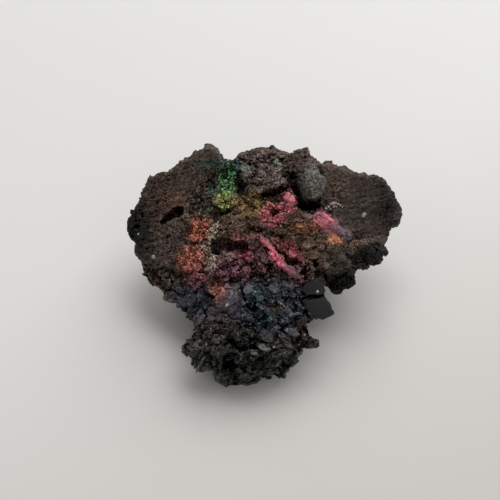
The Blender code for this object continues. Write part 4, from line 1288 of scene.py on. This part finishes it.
class GOETHITE_OT_plates(bpy.types.Operator):
    """Sets the broken plates of the knob, the blue-black part, the hollow, the wings' rims and the block"""

    bl_idname = "goethite.plates"
    bl_label = "Broken plates"

    def execute(self, context):
        tree, skin, depth = skin_tree()
        count = len(skin.polygons)
        middles, facings, extents = np.empty(count * 3), np.empty(count * 3), np.empty(count)
        skin.polygons.foreach_get("center", middles)
        skin.polygons.foreach_get("normal", facings)
        skin.polygons.foreach_get("area", extents)
        middles, facings = middles.reshape(-1, 3), facings.reshape(-1, 3)
        firsts = np.array([polygon.vertices[0] for polygon in skin.polygons])
        kinds = zones(skin)
        spots = to_face(middles)
        calm = near_any(spots, BARE_SPOTS)
        grain = 70.0 * smooth_noise(spots, 13.0, 61, 1) + 15.0
        allowed = 0.5 + 2.6 * (1.0 - smooth_step(0.1, 0.5, rim_share(spots, 3.0)))
        solid = ray_tree(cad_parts[NODE].data)
        for name, seed, kind, sizes in PLATES:
            rng = np.random.default_rng(seed)
            forms = [plate_form(rng) for _ in range(8)]
            share = kinds[kind][firsts] * extents * (1.0 - calm) * (depth[firsts] < 0.9)
            share /= share.sum()
            pieces = Pieces()
            for number, (long, wide, thick), tilt in sizes:
                for index in rng.choice(count, number, p=share):
                    corners, triangles = forms[rng.integers(len(forms))]
                    grow = rng.uniform(0.65, 1.25)
                    shape = corners * np.array((long, wide, thick)) * rng.uniform(0.8, 1.2, 3)
                    shape = shape * 0.5 * grow * MM
                    broad = np.array(solid.find_nearest(Vector(middles[index]))[1])
                    lean = Vector(broad + 0.8 * facings[index] + tilt * rng.normal(size=3)).normalized()
                    turn = math.radians(grain[index] + rng.normal() * 18.0)
                    along = Vector(FACE_TURN[:, 0] * math.cos(turn) + FACE_TURN[:, 1] * math.sin(turn))
                    across = lean.cross(along).normalized()
                    turned = np.array((across.cross(lean), across, lean))
                    sink = rng.uniform(-0.35, 0.15) * thick * MM
                    placed = shape @ turned + middles[index] + facings[index] * sink
                    if reach_out(tree, placed) > allowed[index] * MM:
                        continue
                    # The plate takes the skin's depth, capped, so that it gets the skin's painted shade in
                    # hollows
                    pieces.add(placed, triangles, grain_shade=1.3 * rng.uniform() ** 1.8 - 0.35,
                               hollow_wide=min(depth[firsts[index]], 0.4))
            piece = pieces.build(name, crystal_tone=0.5, crystal_edge=1.0, speckle=0.6, facet=0.3)
            dress(piece, material("goethite", goethite_material))
        return {"FINISHED"}


# Smooth tablets below the right end of the hollow: corners u, v, height w, thickness, lean in degrees.
TABLETS = [
    ([(12.8, -10.5), (15.7, -9.2), (18.2, -10.2), (19.3, -13.0), (17.9, -14.0), (13.1, -14.0), (11.6, -12.4)],
     5.2, 2.2, 10.0),
    ([(12.9, -15.9), (18.8, -14.9), (21.7, -19.2), (21.3, -20.8), (18.3, -22.2), (14.4, -20.4),
      (12.6, -17.6)], 4.6, 2.0, 4.0),
]


def add_tablet(corners, height, thickness, lean_deg):
    """A bevelled plate whose outline is given on the face."""
    slope = math.tan(math.radians(lean_deg))
    points = [FACE @ Vector((u, v, height + slope * (v - corners[0][1]))) for u, v in corners]
    tablet = add_mesh("tablet", points, [tuple(reversed(range(len(points))))])
    edit_mesh(tablet, bpy.ops.mesh.normals_make_consistent, inside=False)
    apply_modifier(tablet, "thick", "SOLIDIFY", thickness=thickness * MM, offset=0.0)
    apply_modifier(tablet, "edge", "BEVEL", width=0.22 * MM, segments=2)
    return tablet


class GOETHITE_OT_tablets(bpy.types.Operator):
    """Sets the smooth dark tablets beside the blue-black plates"""

    bl_idname = "goethite.tablets"
    bl_label = "Tablets"

    def execute(self, context):
        piece = join("tablets", [add_tablet(*tablet) for tablet in TABLETS])
        smooth_faces(piece, 30.0)
        dress(piece, material("tablet", tablet_material))
        return {"FINISHED"}


# Pale grains: u, v, radius. The first eleven are one group beside the grey lump.
PALE_GRAINS = [
    (20.0, 13.4, 0.5), (20.9, 14.0, 0.65), (21.6, 14.9, 0.5), (22.4, 15.2, 0.6), (23.3, 15.4, 0.45),
    (24.0, 14.9, 0.6), (24.8, 14.6, 0.45), (21.5, 13.3, 0.4), (22.7, 14.2, 0.5), (23.6, 14.0, 0.4),
    (25.4, 14.1, 0.35),
    (32.8, 11.5, 0.9), (-36.7, -2.3, 0.75), (-41.7, 5.3, 0.5), (-12.0, -17.4, 0.7), (-3.0, -13.2, 0.5),
    (16.6, -13.2, 0.6), (-17.0, -25.0, 0.45), (2.9, -30.2, 0.6), (12.4, -26.9, 0.5), (-17.6, 3.4, 0.5),
]


class GOETHITE_OT_pale_grains(bpy.types.Operator):
    """Sets the pale quartz grains that sit on the rock"""

    bl_idname = "goethite.pale_grains"
    bl_label = "Pale grains"

    def execute(self, context):
        rng = np.random.default_rng(9)
        facets = bpy.data.textures.new("quartz_facets", "VORONOI")
        facets.noise_scale = 0.8 * MM
        tablets, skin = (ray_tree(bpy.data.objects[name].data) for name in ("tablets", "goethite_mass"))
        grains = []
        for u, v, radius in PALE_GRAINS:
            place = face_hit(tablets, u, v)[0] or face_hit(skin, u, v)[0]
            grain = add_ball(3, location=place, rotation=rng.uniform(0.0, 6.0, 3),
                             scale=radius * MM * rng.uniform(0.6, 1.1, 3))
            settle(grain)
            apply_modifier(grain, "facets", "DISPLACE", texture=facets,
                           strength=0.35 * radius * MM, mid_level=0.3)
            grains.append(grain)
        piece = join("pale_grains", grains)
        inside = within_box(positions(piece.data))
        piece.data.vertices.foreach_set("co", inside.astype(np.float32).ravel())
        smooth_faces(piece, 20.0)
        dress(piece, material("quartz", quartz_material))
        return {"FINISHED"}


WARM_WHITE = (1.0, 0.99, 0.975, 1.0)
LIT_POINT = Vector((0.0, 0.0, 0.02))  # what both lights turn to
CAMERA_SHIFT = Vector((-4.7, 0.0, 0.0)) * MM  # from the middle of the face to what the camera looks at


class GOETHITE_OT_stage(bpy.types.Operator):
    """Lays the pale floor, hangs the soft lights and sets up the camera"""

    bl_idname = "goethite.stage"
    bl_label = "Stage"

    def execute(self, context):
        settings = stage()
        deselect()
        bpy.ops.mesh.primitive_plane_add(size=settings.floor_size, location=(0.0, 0.0, 0.0))
        floor = bpy.context.active_object
        floor.name = "floor"
        floor.data.materials.append(floor_material())

        world = bpy.data.worlds.new("studio")
        context.scene.world = world
        world.use_nodes = True
        sky = world.node_tree.nodes["Background"]
        sky.inputs["Color"].default_value = WARM_WHITE
        sky.inputs["Strength"].default_value = settings.sky

        for name, place, size, power in (
            ("key_light", (0.27, 0.56, 0.85), 1.1, settings.key),
            ("fill_light", (0.35, -0.75, 0.6), 0.9, settings.fill),
        ):
            deselect()
            turn = (LIT_POINT - Vector(place)).to_track_quat("-Z", "Y").to_euler()
            bpy.ops.object.light_add(type="AREA", location=place, rotation=turn)
            lamp = bpy.context.active_object
            lamp.name = name
            lamp.data.shape = "SQUARE"
            lamp.data.size = size
            lamp.data.energy = power

        centre = FACE_ORIGIN + CAMERA_SHIFT
        back = Vector((0.0, -math.cos(settings.elevation), math.sin(settings.elevation)))
        deselect()
        bpy.ops.object.camera_add(location=centre + back * settings.distance)
        camera = bpy.context.active_object
        camera.rotation_euler = (-back).to_track_quat("-Z", "Y").to_euler()
        camera.data.lens = settings.lens
        camera.data.sensor_width = 36.0
        camera.data.clip_start = 0.01
        context.scene.camera = camera
        context.scene.view_settings.view_transform = "Standard"
        return {"FINISHED"}


class GOETHITE_PT_panel(bpy.types.Panel):
    """Lists the specimen's pieces and their settings"""

    bl_label = "Goethite Specimen"
    bl_idname = "GOETHITE_PT_panel"
    bl_space_type = "VIEW_3D"
    bl_region_type = "UI"
    bl_category = "Goethite"

    def draw(self, context):
        for operator in OPERATORS:
            self.layout.operator(operator.bl_idname)
        for settings in (form(), colours(), stage()):
            box = self.layout.box()
            for name in settings.bl_rna.properties.keys():
                if name not in {"rna_type", "name"}:
                    box.prop(settings, name)


OPERATORS = [
    GOETHITE_OT_mass,
    GOETHITE_OT_crystals,
    GOETHITE_OT_plates,
    GOETHITE_OT_tablets,
    GOETHITE_OT_pale_grains,
    GOETHITE_OT_stage,
]
CLASSES = [GOETHITE_PG_form, GOETHITE_PG_colours, GOETHITE_PG_stage, *OPERATORS, GOETHITE_PT_panel]


def register():
    for item in CLASSES:
        bpy.utils.register_class(item)
    bpy.types.Scene.goethite_form = bpy.props.PointerProperty(type=GOETHITE_PG_form)
    bpy.types.Scene.goethite_colours = bpy.props.PointerProperty(type=GOETHITE_PG_colours)
    bpy.types.Scene.goethite_stage = bpy.props.PointerProperty(type=GOETHITE_PG_stage)


def unregister():
    del bpy.types.Scene.goethite_stage
    del bpy.types.Scene.goethite_colours
    del bpy.types.Scene.goethite_form
    for item in reversed(CLASSES):
        bpy.utils.unregister_class(item)


def main():
    register()
    for operator in OPERATORS:
        group, name = operator.bl_idname.split(".")
        getattr(getattr(bpy.ops, group), name)()


if __name__ == "__main__":
    main()
